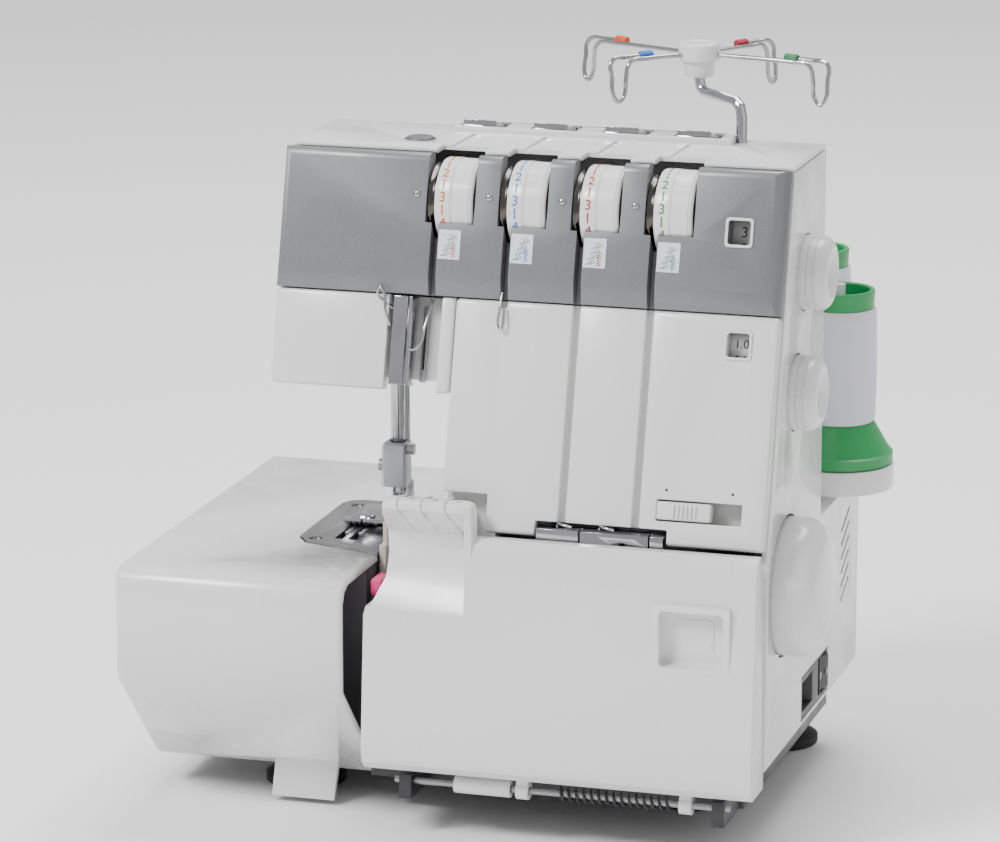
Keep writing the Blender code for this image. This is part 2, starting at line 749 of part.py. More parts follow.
def base_plate():
    high = base_low + base_thickness
    split = bed_left - 0.004
    plate = box("base_plate", (base_left, foot_y + 0.047, base_low), (split + 0.01, rear_y - 0.008, high), black)
    join(plate, box("base_right", (split, base_front, base_low), (side_x - 0.013, rear_y - 0.008, high)))
    for number, x in enumerate(lug_places):
        join(plate, box(f"rod_lug_{number}", (x, rod_at[0] - 0.0038, base_low), (x + lug_width, base_front + 0.01, rod_at[1] + 0.0038)))
    return cut(plate, rod("lug_bore", (-0.3, *rod_at), (0.3, *rod_at), rod_radius + gap, sides=16))


def machine_frame():
    """Cast frame: floor rib, upright, arm beam, and bearings for the shaft and both bars."""
    y = foot_y
    right = side_x - 0.037
    bearing_y, bearing_z = wheel_at
    frame = box("machine_frame", (column_left - 0.020, y + 0.067, frame_low), (right, needle_y + 0.030, frame_low + 0.009), cast)
    join(
        frame,
        box("upright", (column_left + 0.033, needle_y - 0.020, frame_low), (column_left + 0.060, needle_y + 0.008, beam_top)),
        box("arm_beam", (needle_x - 0.025, needle_y - 0.010, beam_foot), (column_left + 0.060, needle_y + 0.017, beam_top)),
        box("cross_beam", (column_left + 0.014, needle_y - 0.019, bearing_z - 0.009), (right - 0.002, needle_y - 0.007, bearing_z + 0.009)),
        box("left_bearing", (column_left + 0.012, bearing_y - 0.010, bearing_z - 0.010), (column_left + 0.022, needle_y - 0.006, bearing_z + 0.010)),
        box("right_bearing", (right - 0.010, bearing_y - 0.010, bearing_z - 0.010), (right, needle_y - 0.006, bearing_z + 0.010)),
    )
    return cut(
        frame,
        rod("shaft_bore", (column_left, *wheel_at), (side_x, *wheel_at), shaft_radius + gap, sides=28),
        rod("needle_bore", (needle_x, needle_y, beam_foot - 0.01), (needle_x, needle_y, beam_top + 0.01), needle_bar_radius + gap, sides=24),
        rod("presser_bore", (needle_x, presser_y, beam_foot - 0.01), (needle_x, presser_y, beam_top + 0.01), presser_bar_radius + gap, sides=24),
    )


def feet():
    neck = foot_radius - 0.007
    for number, (x, y) in enumerate(foot_places, 1):
        profile = [(0.0, foot_height), (neck, foot_height), (neck, 0.0085), (foot_radius - 0.0025, 0.0060),
                   (foot_radius, 0.0045), (foot_radius, 0.0010), (foot_radius - 0.0010, 0.0), (0.0, 0.0)]
        turned(f"foot_{number}", profile, Matrix.Translation((x, y, 0)), rubber, 24)


# ---- small fixed pieces --------------------------------------------------------------------
def needle_guard():
    """Square chrome post standing in the head's recess."""
    x = needle_x + 0.0211
    low = arm_under + 0.0010
    high = panel_foot - 0.0010
    post = face_box("needle_guard", x, x + 0.0094, low, high, 0.0105, 0.0010, chrome)
    return cut(post, face_box("guard_groove", x + 0.0070, x + 0.0078, low - 0.01, high + 0.01, 0.0010, 0.01))


def tension_discs():
    """A pair of pressed discs on a post, beside each dial."""
    y, z = dial_at
    for number in range(4):
        x = channel_x(number) - 0.0012
        far = channel_x(number) + dial_offset + dial_width / 2 - 0.0020 - x
        r = disc_radius
        profile = [(0.0, far), (dial_post_radius, far), (dial_post_radius, 0.0), (r * 0.55, 0.0), (r * 0.8, -0.0008),
                   (r, 0.0), (r, -0.0006), (r * 0.9, -0.0016), (r, -0.0026), (r, -0.0032), (r * 0.8, -0.0024),
                   (r * 0.55, -0.0032), (0.0, -0.0032)]
        place = Matrix.Translation((x, y, z)) @ Matrix.Rotation(math.radians(90), 4, "Y")
        turned(f"tension_discs_{number + 1}", profile, place, chrome, 24)


def looper_guides():
    """Chrome thread guides at the foot of the column."""
    low = foot_z - 0.0118
    high = foot_z + 0.0005
    y = foot_y - 0.0018
    guide = box("looper_guides", (guide_left, y, low), (guide_right, y + 0.0085, high), chrome)
    cut(guide, box("guide_inside", (guide_left - 0.01, y + 0.0012, low - 0.01), (guide_right + 0.01, y + 0.0073, high - 0.0012)))
    for number, x in enumerate((guide_left + 0.0206, guide_left + 0.0545)):
        cut(guide, box(f"guide_gap_{number}", (x, y - 0.01, low - 0.01), (x + 0.0008, y + 0.0060, high + 0.01)))
    return cut(guide, rod("guide_hole", (guide_left + 0.042, y - 0.01, low + 0.0065), (guide_left + 0.042, y + 0.003, low + 0.0065), 0.0016, sides=16))


def top_guides():
    """Four top thread guides on one strip behind the bar."""
    low = bar_top - 0.0016 + gap
    y = bar_back + gap
    first = channel_x(0) + 0.0030 - 0.0110
    last = channel_x(3) + 0.0030 + 0.0110
    strip = box("top_guides", (first, y, top_height + gap), (last, y + 0.0020, low + 0.0010), chrome)
    for number in range(4):
        x = channel_x(number) + 0.0030
        join(
            strip,
            box(f"guide_tab_{number}", (x - 0.0110, bar_front + 0.0020, low), (x + 0.0110, y + 0.0010, low + 0.0010)),
            box(f"guide_fold_{number}", (x - 0.0105, bar_front + 0.0045, low + 0.0005), (x + 0.0060, bar_front + 0.0053, low + 0.0036)),
        )
    return strip


def spool_tray():
    """Rear tray on the shelf with a round seat and a pin for each cone."""
    near = cone_places[0][1] - seat_radius
    tray = box("spool_tray", (cone_places[0][0] - 0.005, near + 0.010, tray_foot), (cone_places[2][0] + 0.010, overall_depth / 2 - 0.010, tray_top - 0.003), white)
    join(tray, box("tray_stem", (side_x - 0.085, near + 0.012, shelf_height + gap), (side_x - 0.045, rear_y - 0.006, tray_foot + 0.002)))
    for number, (x, y, rise) in enumerate(cone_places):
        join(
            tray,
            rod(f"seat_{number}", (x, y, tray_foot), (x, y, tray_top + rise), seat_radius, sides=48),
            rod(f"pin_{number}", (x, y, tray_foot + 0.002), (x, y, tray_top + rise + cone_height + 0.003), pin_radius, sides=16, far_radius=pin_radius * 0.8),
        )
    return tray


def cones():
    """Thread cones: flared foot, wound body and rim, open down the middle for the pin."""
    bore = pin_radius + 0.0040
    h = cone_height
    for number, (x, y, rise) in enumerate(cone_places, 1):
        profile = [(0.0145, h), (0.0170, h), (0.0172, h - 0.0085), (0.0184, h - 0.0100), (0.0186, h - 0.0200),
                   (0.0176, 0.0210), (cone_radius, 0.0060), (cone_radius, 0.0), (bore, 0.0), (bore, 0.0060),
                   (0.0135, 0.0200)]
        turned(f"thread_cone_{number}", profile, Matrix.Translation((x, y, tray_top + rise + gap)), green, 22)


def motor():
    y, z = motor_at
    right = pulley_x - 0.006
    body = rod("motor", (right - motor_length, y, z), (right, y, z), motor_radius, copper, 32)
    join(body, box("motor_foot", (right - motor_length + 0.015, y - 0.018, frame_low), (right - 0.015, y + 0.018, z - 0.015)))
    return cut(body, rod("motor_bore", (right - 0.020, y, z), (right + 0.01, y, z), 0.0040, sides=16))


def motor_pulley():
    y, z = motor_at
    pulley = rod("motor_pulley", (pulley_x - 0.004, y, z), (pulley_x + pulley_width, y, z), motor_pulley_radius, steel, 24)
    return join(pulley, rod("motor_stub", (pulley_x - 0.022, y, z), (pulley_x, y, z), 0.0032, sides=16))


def belt_outline(extra):
    """Outer tangent loop round the two pulleys, in the YZ plane."""
    big = Vector(wheel_at)
    small = Vector(motor_at)
    span = small - big
    lean = math.degrees(math.atan2(span.y, span.x))
    spread = math.degrees(math.acos((pulley_radius - motor_pulley_radius) / span.length))
    points = arc(big, pulley_radius + extra, lean + spread, lean + 360 - spread, 24)
    return points + arc(small, motor_pulley_radius + extra, lean - spread, lean + spread, 10)


def drive_belt():
    belt = outline("drive_belt", belt_outline(gap + belt_thickness), pulley_x + 0.001, pulley_x + pulley_width - 0.001, "x", rubber)
    return cut(belt, outline("belt_inside", belt_outline(gap), pulley_x - 0.01, pulley_x + 0.03, "x"))


def power_inlet():
    """Inlet socket and switch housing in the right side."""
    housing = box("power_inlet", (side_x - 0.0155, inlet_low[0], inlet_low[1]), (side_x - 0.0003, switch_high[0], switch_high[1]), black)
    return cut(
        housing,
        box("socket", (side_x - 0.0130, inlet_low[0] + 0.0030, inlet_low[1] + 0.0035), (side_x + 0.01, inlet_low[0] + 0.0250, switch_high[1] - 0.0035)),
        box("rocker_space", (side_x - 0.0125, switch_low[0], switch_low[1] + 0.0015), (side_x + 0.01, switch_high[0] - 0.0015, switch_high[1] - 0.0015)),
    )


def cover_spring():
    """Compression spring on the hinge rod."""
    low = sleeve_left + sleeve_length + 0.0235
    high = eye_places[1] - 0.004
    turns = 15
    steps = 8
    radius = 0.0032
    points = []
    for i in range(turns * steps + 1):
        turn = 2 * math.pi * i / steps
        points.append((low + (high - low) * i / (turns * steps), rod_at[0] + radius * math.cos(turn), rod_at[1] + radius * math.sin(turn)))
    return wire("cover_spring", points, 0.0006, black, resolution=0)


# ---- moving pieces -------------------------------------------------------------------------
def side_frame(at):
    return Matrix.Translation((side_x, *at)) @ Matrix.Rotation(math.radians(90), 4, "Y")


def handwheel():
    r = wheel_radius
    out = wheel_reach
    bore = shaft_radius + gap
    profile = [(0.0, out), (r - 0.014, out - 0.0008), (r - 0.0070, out - 0.0030), (r - 0.0020, out - 0.0075),
               (r, out - 0.0140), (r, -0.0050), (bore, -0.0050), (bore, out - 0.0100), (0.0, out - 0.0100)]
    return turned("handwheel", profile, side_frame(wheel_at), white, 48)


def main_shaft():
    shaft = rod("main_shaft", (column_left + 0.008, *wheel_at), (side_x + wheel_reach - 0.0104, *wheel_at), shaft_radius, steel, 24)
    return join(shaft, rod("drive_pulley", (pulley_x, *wheel_at), (pulley_x + pulley_width, *wheel_at), pulley_radius, sides=44))


def ribbed_knob(name, at):
    r = knob_radius
    out = knob_reach
    profile = [(0.0, out - 0.0040), (0.0040, out - 0.0034), (0.0075, out - 0.0012), (0.0095, out), (0.0130, out),
               (0.0160, out - 0.0014), (r, out - 0.0050), (r, -knob_depth), (0.0, -knob_depth)]
    return turned(name, profile, side_frame(at), white, 40)


def number_drum(name, ends, window):
    """Drum whose numbers show through a window of the front."""
    middle = (ends[0] + ends[1]) / 2
    at = on_face(middle, window[1], -(moulding + 0.0010 + drum_radius))
    drum = rod(name, (ends[0], at.y, at.z), (ends[1], at.y, at.z), drum_radius, white, 32)
    join(drum, rod(name + "_axle", (ends[0] - 0.005, at.y, at.z), (ends[1] + 0.004, at.y, at.z), 0.0025, sides=16))
    hang(name + "_pivot", at, drum)
    return drum


def tension_dials():
    half = dial_width / 2
    r = dial_radius
    bore = dial_post_radius + gap
    for number in range(4):
        x = channel_x(number) + dial_offset
        place = Matrix.Translation((x, *dial_at)) @ Matrix.Rotation(math.radians(90), 4, "Y")
        profile = [(bore, half - 0.0008), (r - 0.0040, half - 0.0008), (r - 0.0026, half), (r - 0.0006, half - 0.0008), (r, half - 0.0022),
                   (r, -half + 0.0010), (r - 0.0008, -half), (bore, -half)]
        turned(f"tension_dial_{number + 1}", profile, place, white, 36)


def hem_selector():
    """Ribbed slide in the column's slot."""
    place = face_frame(0.0, selector_height - 0.0041)
    low = selector_left + gap
    slide = box("hem_selector", (low, 0.0, -0.0066), (low + slide_length, face_length(0, 0.0082), 0.0006), white, 0.0006, 1, place)
    for number in range(6):
        x = low + 0.0075 + 0.0021 * number
        join(slide, box(f"slide_rib_{number}", (x, 0.0014, -0.001), (x + 0.0010, 0.0070, 0.0016), place=place))
    return slide


def needle_bar():
    return rod("needle_bar", (needle_x, needle_y, clamp_foot + 0.0095), (needle_x, needle_y, beam_top + 0.004), needle_bar_radius, chrome, 24)


def needle_clamp():
    """Clamp on the needle bar's foot with two needles and their screws."""
    x = needle_x
    y = needle_y
    z = clamp_foot
    block = box("needle_clamp", (x - 0.0058, y - 0.0072, z), (x + 0.0058, y + 0.0044, z + 0.0225), steel, 0.0008, 1)
    cut(block, rod("clamp_bore", (x, y, z + 0.0091), (x, y, z + 0.04), needle_bar_radius + gap, sides=24))
    for number, spot in enumerate((x - 0.0020, x + 0.0020)):
        foot = plate_top - 0.0072 - 0.0010 * number
        join(block, rod(f"needle_{number}", (spot, y, z + 0.004), (spot, y, foot + 0.004), 0.0008, sides=10))
        join(block, rod(f"needle_point_{number}", (spot, y, foot + 0.0045), (spot, y, foot), 0.0008, sides=10, far_radius=0.0002))
    for number, height in enumerate((0.0060, 0.0150)):
        turn = -1 if number == 0 else 1
        join(block, rod(f"clamp_screw_{number}", (x + turn * 0.005, y - 0.0015, z + height + 0.004), (x + turn * 0.0090, y - 0.0015, z + height + 0.004), 0.0030, sides=16))
    return block


def presser_bar():
    bar = rod("presser_bar", (needle_x, presser_y, platform_height + 0.0165), (needle_x, presser_y, beam_top + 0.004), presser_bar_radius, chrome, 24)
    return join(bar, rod("spring_collar", (needle_x, presser_y, floor_top + 0.009), (needle_x, presser_y, floor_top + 0.013), 0.0055, sides=24))


def presser_foot():
    """Foot sole, toes and shank behind the needles."""
    x = needle_x
    y = needle_y
    z = sole_foot
    sole = outline("presser_foot", [(y - 0.021, z + 0.0030), (y - 0.017, z), (y + 0.018, z), (y + 0.018, z + 0.0022), (y - 0.0165, z + 0.0022), (y - 0.0205, z + 0.0046)],
                   x - 0.0220, x + 0.0060, "x", chrome)
    cut(
        sole,
        box("toe_slot", (x - 0.0042, y - 0.012, z - 0.01), (x + 0.0042, y + 0.0042, z + 0.01)),
        box("toe_split", (x - 0.0128, y - 0.03, z - 0.01), (x - 0.0118, y - 0.004, z + 0.01)),
    )
    join(
        sole,
        box("shank", (x - 0.0050, presser_y - 0.0032, z + 0.0012), (x + 0.0040, presser_y + 0.0048, platform_height + 0.0130)),
        rod("shank_collar", (x, presser_y, platform_height + 0.0120), (x, presser_y, platform_height + 0.0190), presser_bar_radius + 0.0017, sides=24),
    )
    return cut(sole, rod("collar_bore", (x, presser_y, platform_height + 0.0161), (x, presser_y, platform_height + 0.03), presser_bar_radius + gap, sides=24))


def presser_spring():
    """Coil between the beam and the presser bar's collar."""
    low = floor_top + 0.0142
    high = beam_foot - 0.0012
    turns = 7
    steps = 10
    points = []
    for i in range(turns * steps + 1):
        turn = 2 * math.pi * i / steps
        points.append((needle_x + 0.0047 * math.cos(turn), presser_y + 0.0047 * math.sin(turn), low + (high - low) * i / (turns * steps)))
    return wire("presser_spring", points, 0.0006, steel, resolution=0)


lifter_at = (needle_x + 0.0245, arm_back + 0.0006, arm_under + 0.016)


def presser_lifter():
    """Lever at the back of the head."""
    x, y, z = lifter_at
    points = [(x - 0.005, z - 0.005), (x + 0.002, z - 0.007), (x + 0.007, z - 0.002), (x + 0.005, z + 0.006),
              (x - 0.002, z + 0.007), (x - 0.030, z - 0.008), (x - 0.042, z - 0.012), (x - 0.043, z - 0.018),
              (x - 0.032, z - 0.016)]
    return outline("presser_lifter", points, y, y + 0.0052, "y", black)


def hinge_sleeve():
    sleeve = rod("hinge_sleeve", (sleeve_left, *rod_at), (sleeve_left + sleeve_length, *rod_at), 0.0042, white, 24)
    return cut(sleeve, rod("sleeve_bore", (-0.3, *rod_at), (0.3, *rod_at), rod_radius + gap, sides=16))


def setting_lever():
    """Pink lever of the stitch finger."""
    x = knife_right + 0.0012
    y = looper_cover_back + 0.0040
    low = lever_floor + gap
    lever = box("setting_lever", (x, y, low), (x + 0.0060, y + 0.0140, low + 0.0082), pink, 0.0014, 2)
    return join(lever, box("finger_slide", (x + 0.0006, y + 0.012, low + 0.001), (x + 0.0026, y + 0.030, low + 0.004)))


def thread_pole():
    """Cranked chrome pole: stem in the arm, crank, and the pin under the hub."""
    x, y = pole_at
    hx, hy = hub_at
    z = crank_height
    along_x = (hx - x) * 0.14
    along_y = (hy - y) * 0.14
    points = [(x, y, pole_foot), (x, y, z - 0.007), (x + along_x * 0.3, y + along_y * 0.3, z - 0.002), (x + along_x, y + along_y, z),
              (hx - along_x, hy - along_y, z + 0.001), (hx - along_x * 0.3, hy - along_y * 0.3, z + 0.003), (hx, hy, z + 0.008), (hx, hy, hub_top - 0.009)]
    return wire("thread_pole", points, pole_radius, chrome, resolution=3)


def bend(before, corner, after, radius, count=4):
    """Points round a bend between two straight runs."""
    before, corner, after = Vector(before), Vector(corner), Vector(after)
    start = corner + (before - corner).normalized() * radius
    end = corner + (after - corner).normalized() * radius
    steps = [i / count for i in range(count + 1)]
    return [start * (1 - t) ** 2 + corner * 2 * t * (1 - t) + end * t ** 2 for t in steps]


def thread_head():
    """Hub with four wires, each ending in a hanging loop."""
    x, y = hub_at
    bore = pole_radius + gap
    top = hub_top
    profile = [(0.0, top), (0.0088, top), (0.0098, top - 0.0010), (0.0098, top - 0.0090), (0.0076, top - 0.0092),
               (0.0072, top - 0.0160), (bore, top - 0.0160), (bore, top - 0.0085), (0.0, top - 0.0085)]
    hub = turned("thread_head", profile, Matrix.Translation((x, y, 0)), white, 32)
    centre = Vector((x, y, wire_height))
    for number, (dx, dy) in enumerate(loop_places):
        out = Vector((dx, dy, 0))
        way = out.normalized()
        side = Vector((-way.y, way.x, 0))
        near = centre + out
        foot = near + Vector((0, 0, -loop_drop)) + way * 0.0030
        far = near + way * 0.0060
        end = far - way * 0.0012 + side * 0.0050
        points = [centre + way * 0.004] + bend(centre, near, foot, 0.0025) + bend(near, foot, far, 0.0014, 5)
        points += bend(foot, far, end, 0.0020) + [end]
        cap = centre + out * 0.88
        join(
            hub,
            wire(f"guide_wire_{number}", points, wire_radius, resolution=1),
            rod(f"wire_cap_{number}", cap - way * 0.0035, cap + way * 0.0035, 0.0022, sides=16),
        )
    return hub


def power_rocker():
    y0 = switch_low[0] + 0.0018
    y1 = switch_high[0] - 0.0033
    centre = (y0 + y1) / 2
    points = [(side_x - 0.0105, centre - 0.0020), (side_x - 0.0030, y0 + 0.0004), (side_x + 0.0002, y0 + 0.0004), (side_x - 0.0012, centre),
              (side_x + 0.0014, y1 - 0.0004), (side_x - 0.0030, y1 - 0.0004), (side_x - 0.0105, centre + 0.0020)]
    rocker = outline("power_rocker", points, switch_low[1] + 0.0015 + running_gap, switch_high[1] - 0.0015 - running_gap, "z", black)
    hang("rocker_pivot", (side_x - 0.0070, centre, (switch_low[1] + switch_high[1]) / 2), rocker)
    return rocker


def pressure_screw():
    x, y = screw_at
    r = screw_radius
    top = top_height + 0.0010
    profile = [(0.0, top), (r - 0.0008, top), (r, top - 0.0010), (r, top - 0.0160), (0.0, top - 0.0160)]
    screw = turned("pressure_screw", profile, Matrix.Translation((x, y, 0)), dark_steel, 28)
    return cut(screw, box("screw_slot", (x - 0.02, y - 0.0007, top - 0.0016), (x + 0.02, y + 0.0007, top + 0.01)))


def looper(name, pivot, reach):
    """A curved hook on a rocking arm, swinging across the needles."""
    x, y, z = pivot
    top = looper_height
    side = math.copysign(1.0, reach)
    points = [
        (x - 0.0030 * side, z),
        (x + 0.0030 * side, z),
        (x + 0.0026 * side, z + 0.018),
        (x + 0.0020 * side, top - 0.0080),
        (x + reach, top - 0.0030),
        (x + reach + 0.0006 * side, top),
        (x + reach * 0.5, top - 0.0008),
        (x - 0.0016 * side, top - 0.0060),
        (x - 0.0026 * side, z + 0.018),
    ]
    arm = outline(name, points, y - 0.0010, y + 0.0010, "y", steel)
    return join(arm, rod(name + "_hub", (x, y - 0.0022, z), (x, y + 0.0022, z), 0.0055, sides=24))


def upper_knife():
    """Upper knife blade on its pale carrier, beside the plate's right edge."""
    x0 = plate_right + 0.0006
    y = needle_y - 0.043
    carrier = box("upper_knife", (x0, y - 0.016, platform_height - 0.026), (knife_right, y, platform_height + 0.004), steel)
    return join(carrier, box("knife_blade", (x0 + 0.0006, y - 0.012, platform_height), (knife_right - 0.0006, y - 0.002, platform_height + 0.015)))


def feed_dog():
    y = needle_y
    dog = box("feed_dog", (needle_x - 0.0195, y - 0.030, platform_height - 0.0085), (needle_x - 0.0085, y + 0.012, platform_height - 0.0040), steel)
    for number, x in enumerate((needle_x - 0.0175, needle_x - 0.0105)):
        join(dog, box(f"teeth_{number}", (x - 0.0013, y - 0.028, platform_height - 0.0050), (x + 0.0013, y + 0.010, plate_top - 0.0002)))
    return dog


def main():
    start_scene()
    base_plate()
    machine_frame()
    rear_casing()
    column_cover()
    face_panel()
    head_cover()
    top_cover()
    top_guides()
    needle_plate()
    looper_block()
    feet()
    power_inlet()
    spool_tray()
    cones()
    motor()
    needle_guard()
    tension_discs()
    looper_guides()
    rod("hinge_rod", (lug_places[0] - 0.003, *rod_at), (lug_places[1] + lug_width + 0.002, *rod_at), rod_radius, steel, 20)
    drive_belt()
    cover_spring()
    hang("wheel_pivot", (side_x, *wheel_at), handwheel(), main_shaft())
    hang("motor_pivot", (pulley_x, *motor_at), motor_pulley())
    hang("needle_pivot", (needle_x, needle_y, clamp_foot), needle_bar(), needle_clamp())
    hang("presser_pivot", (needle_x, presser_y, sole_foot), presser_bar(), presser_foot())
    presser_spring()
    hang("lifter_pivot", lifter_at, presser_lifter())
    tension_dials()
    ribbed_knob("stitch_length_knob", stitch_knob_at)
    ribbed_knob("feed_ratio_knob", feed_knob_at)
    number_drum("stitch_length_drum", stitch_drum, stitch_window)
    number_drum("feed_ratio_drum", feed_drum, feed_window)
    hem_selector()
    hang("cover_hinge", (sleeve_left, *rod_at), hinge_sleeve(), front_cover())
    hang("side_cover_hinge", (*cover_pivot, 0.0), side_cover())
    setting_lever()
    thread_pole()
    thread_head()
    power_rocker()
    pressure_screw()
    hang("upper_looper_pivot", upper_looper_at, looper("upper_looper", upper_looper_at, 0.0085))
    hang("lower_looper_pivot", lower_looper_at, looper("lower_looper", lower_looper_at, -0.0060))
    upper_knife()
    feed_dog()


main()
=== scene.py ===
"""Serger overlock machine: finished casings, dials, knobs, thread cones, guides and stage."""
import json
import math

import bmesh
import bpy
from bpy.props import FloatProperty, FloatVectorProperty, IntProperty, PointerProperty
from mathutils import Matrix, Vector


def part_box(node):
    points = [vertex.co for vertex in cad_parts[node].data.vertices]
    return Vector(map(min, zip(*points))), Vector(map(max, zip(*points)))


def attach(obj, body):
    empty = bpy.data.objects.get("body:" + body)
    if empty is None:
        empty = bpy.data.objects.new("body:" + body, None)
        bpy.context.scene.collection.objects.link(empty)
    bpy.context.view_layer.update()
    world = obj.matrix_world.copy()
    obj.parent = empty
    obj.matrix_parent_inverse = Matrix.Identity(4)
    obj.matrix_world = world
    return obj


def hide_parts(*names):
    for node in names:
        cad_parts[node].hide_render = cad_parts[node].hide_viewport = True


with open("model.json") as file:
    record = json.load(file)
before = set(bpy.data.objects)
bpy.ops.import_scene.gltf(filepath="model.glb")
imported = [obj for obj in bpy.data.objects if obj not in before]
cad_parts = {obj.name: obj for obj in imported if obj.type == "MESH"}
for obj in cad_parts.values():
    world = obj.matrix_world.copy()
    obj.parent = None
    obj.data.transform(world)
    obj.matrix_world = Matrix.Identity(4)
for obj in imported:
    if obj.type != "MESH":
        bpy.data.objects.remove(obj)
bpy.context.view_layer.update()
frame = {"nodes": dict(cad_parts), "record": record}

bl_info = {
    "name": "Serger overlock machine",
    "version": (1, 0, 0),
    "blender": (4, 5, 0),
    "location": "View3D > Sidebar > Serger",
    "description": "Finishes the casings and trim of a serger overlock machine",
    "category": "Object",
}

# The front leans back by LEAN about FOOT, and the grey panel stands PROUD of it.
LEAN = math.radians(15)
FOOT = Vector((0.0, -0.117, 0.154))
FACE_UP = Vector((0, math.sin(LEAN), math.cos(LEAN)))
FACE_OUT = Vector((0, -math.cos(LEAN), math.sin(LEAN)))
PROUD = 0.003
THREAD_NAMES = ("orange", "blue", "red", "green")
BODY_OF = {node: body for body, nodes in frame["record"]["behaviour"]["bodies"].items() for node in nodes}


# ---- sizes and colours ---------------------------------------------------------------------
def colour(label, words, value):
    return FloatVectorProperty(
        name=label, description=words, subtype="COLOR", size=3, min=0, max=1, default=value)


def length(label, words, value):
    return FloatProperty(
        name=label, description=words, unit="LENGTH", precision=4, min=0.00005, default=value)


class SergerColours(bpy.types.PropertyGroup):
    shell: colour("Shell", "White glossy plastic of the casings", (0.70, 0.70, 0.695))
    panel: colour("Panel", "Grey metallic paint of the front panel", (0.158, 0.160, 0.165))
    lever: colour("Lever", "Pink plastic of the finger lever", (0.78, 0.045, 0.20))
    cone: colour("Cone", "Green plastic of the thread cones", (0.010, 0.27, 0.070))
    winding: colour("Winding", "Thread wound on the cones", (0.80, 0.80, 0.86))
    orange: colour("Orange", "First thread path", (0.66, 0.075, 0.006))
    blue: colour("Blue", "Second thread path", (0.012, 0.15, 0.58))
    red: colour("Red", "Third thread path", (0.36, 0.008, 0.025))
    green: colour("Green", "Fourth thread path", (0.010, 0.19, 0.055))
    floor: colour("Floor", "Pale studio floor", (0.90, 0.90, 0.90))


class SergerSizes(bpy.types.PropertyGroup):
    edge: length("Edge round", "Rounding of the casing's edges", 0.0009)
    fine_edge: length("Fine edge", "Rounding of small metal pieces", 0.00025)
    digit: length("Digit", "Height of the dial digits", 0.0068)
    dot: length("Dot", "Radius of the silver dots", 0.0018)
    rib_depth: length("Rib depth", "Depth of the ribs on dials and knobs", 0.00030)
    dial_steps: IntProperty(name="Dial ribs", description="Ribs round one dial", min=12, max=200, default=76)
    knob_steps: IntProperty(name="Knob ribs", description="Ribs round one knob", min=12, max=200, default=72)
    digit_step: FloatProperty(
        name="Digit step", description="Turn from one dial digit to the next", subtype="ANGLE", min=0.1,
        max=1.5, default=math.radians(34))


def colours():
    return bpy.context.scene.serger_colours


def sizes():
    return bpy.context.scene.serger_sizes


# ---- materials -----------------------------------------------------------------------------
def new_finish(name):
    finish = bpy.data.materials.new(name)
    finish.use_nodes = True
    tree = finish.node_tree
    return finish, tree, tree.nodes["Principled BSDF"]


def place_pattern(tree, scale):
    where = tree.nodes.new("ShaderNodeTexCoord")
    mapping = tree.nodes.new("ShaderNodeMapping")
    mapping.inputs["Scale"].default_value = scale
    tree.links.new(where.outputs["Object"], mapping.inputs["Vector"])
    return mapping.outputs["Vector"]


def noise(tree, scale, detail=3.0, stretch=(1, 1, 1)):
    made = tree.nodes.new("ShaderNodeTexNoise")
    made.inputs["Scale"].default_value = scale
    made.inputs["Detail"].default_value = detail
    tree.links.new(place_pattern(tree, stretch), made.inputs["Vector"])
    return made.outputs["Fac"]


def graded(tree, source, low, high, start=0.3, end=0.7):
    """Turn a 0 to 1 pattern into a value between low and high."""
    made = tree.nodes.new("ShaderNodeMapRange")
    made.inputs["From Min"].default_value = start
    made.inputs["From Max"].default_value = end
    made.inputs["To Min"].default_value = low
    made.inputs["To Max"].default_value = high
    tree.links.new(source, made.inputs["Value"])
    return made.outputs["Result"]


def tinted(tree, factor, first, second):
    made = tree.nodes.new("ShaderNodeMix")
    made.data_type = "RGBA"
    made.inputs["A"].default_value = (*first, 1)
    made.inputs["B"].default_value = (*second, 1)
    tree.links.new(factor, made.inputs["Factor"])
    return made.outputs["Result"]


def raised(tree, shader, source, strength, distance):
    made = tree.nodes.new("ShaderNodeBump")
    made.inputs["Strength"].default_value = strength
    made.inputs["Distance"].default_value = distance
    tree.links.new(source, made.inputs["Height"])
    tree.links.new(made.outputs["Normal"], shader.inputs["Normal"])


def scaled(value, amount):
    return tuple(max(0.0, min(1.0, part * amount)) for part in value)


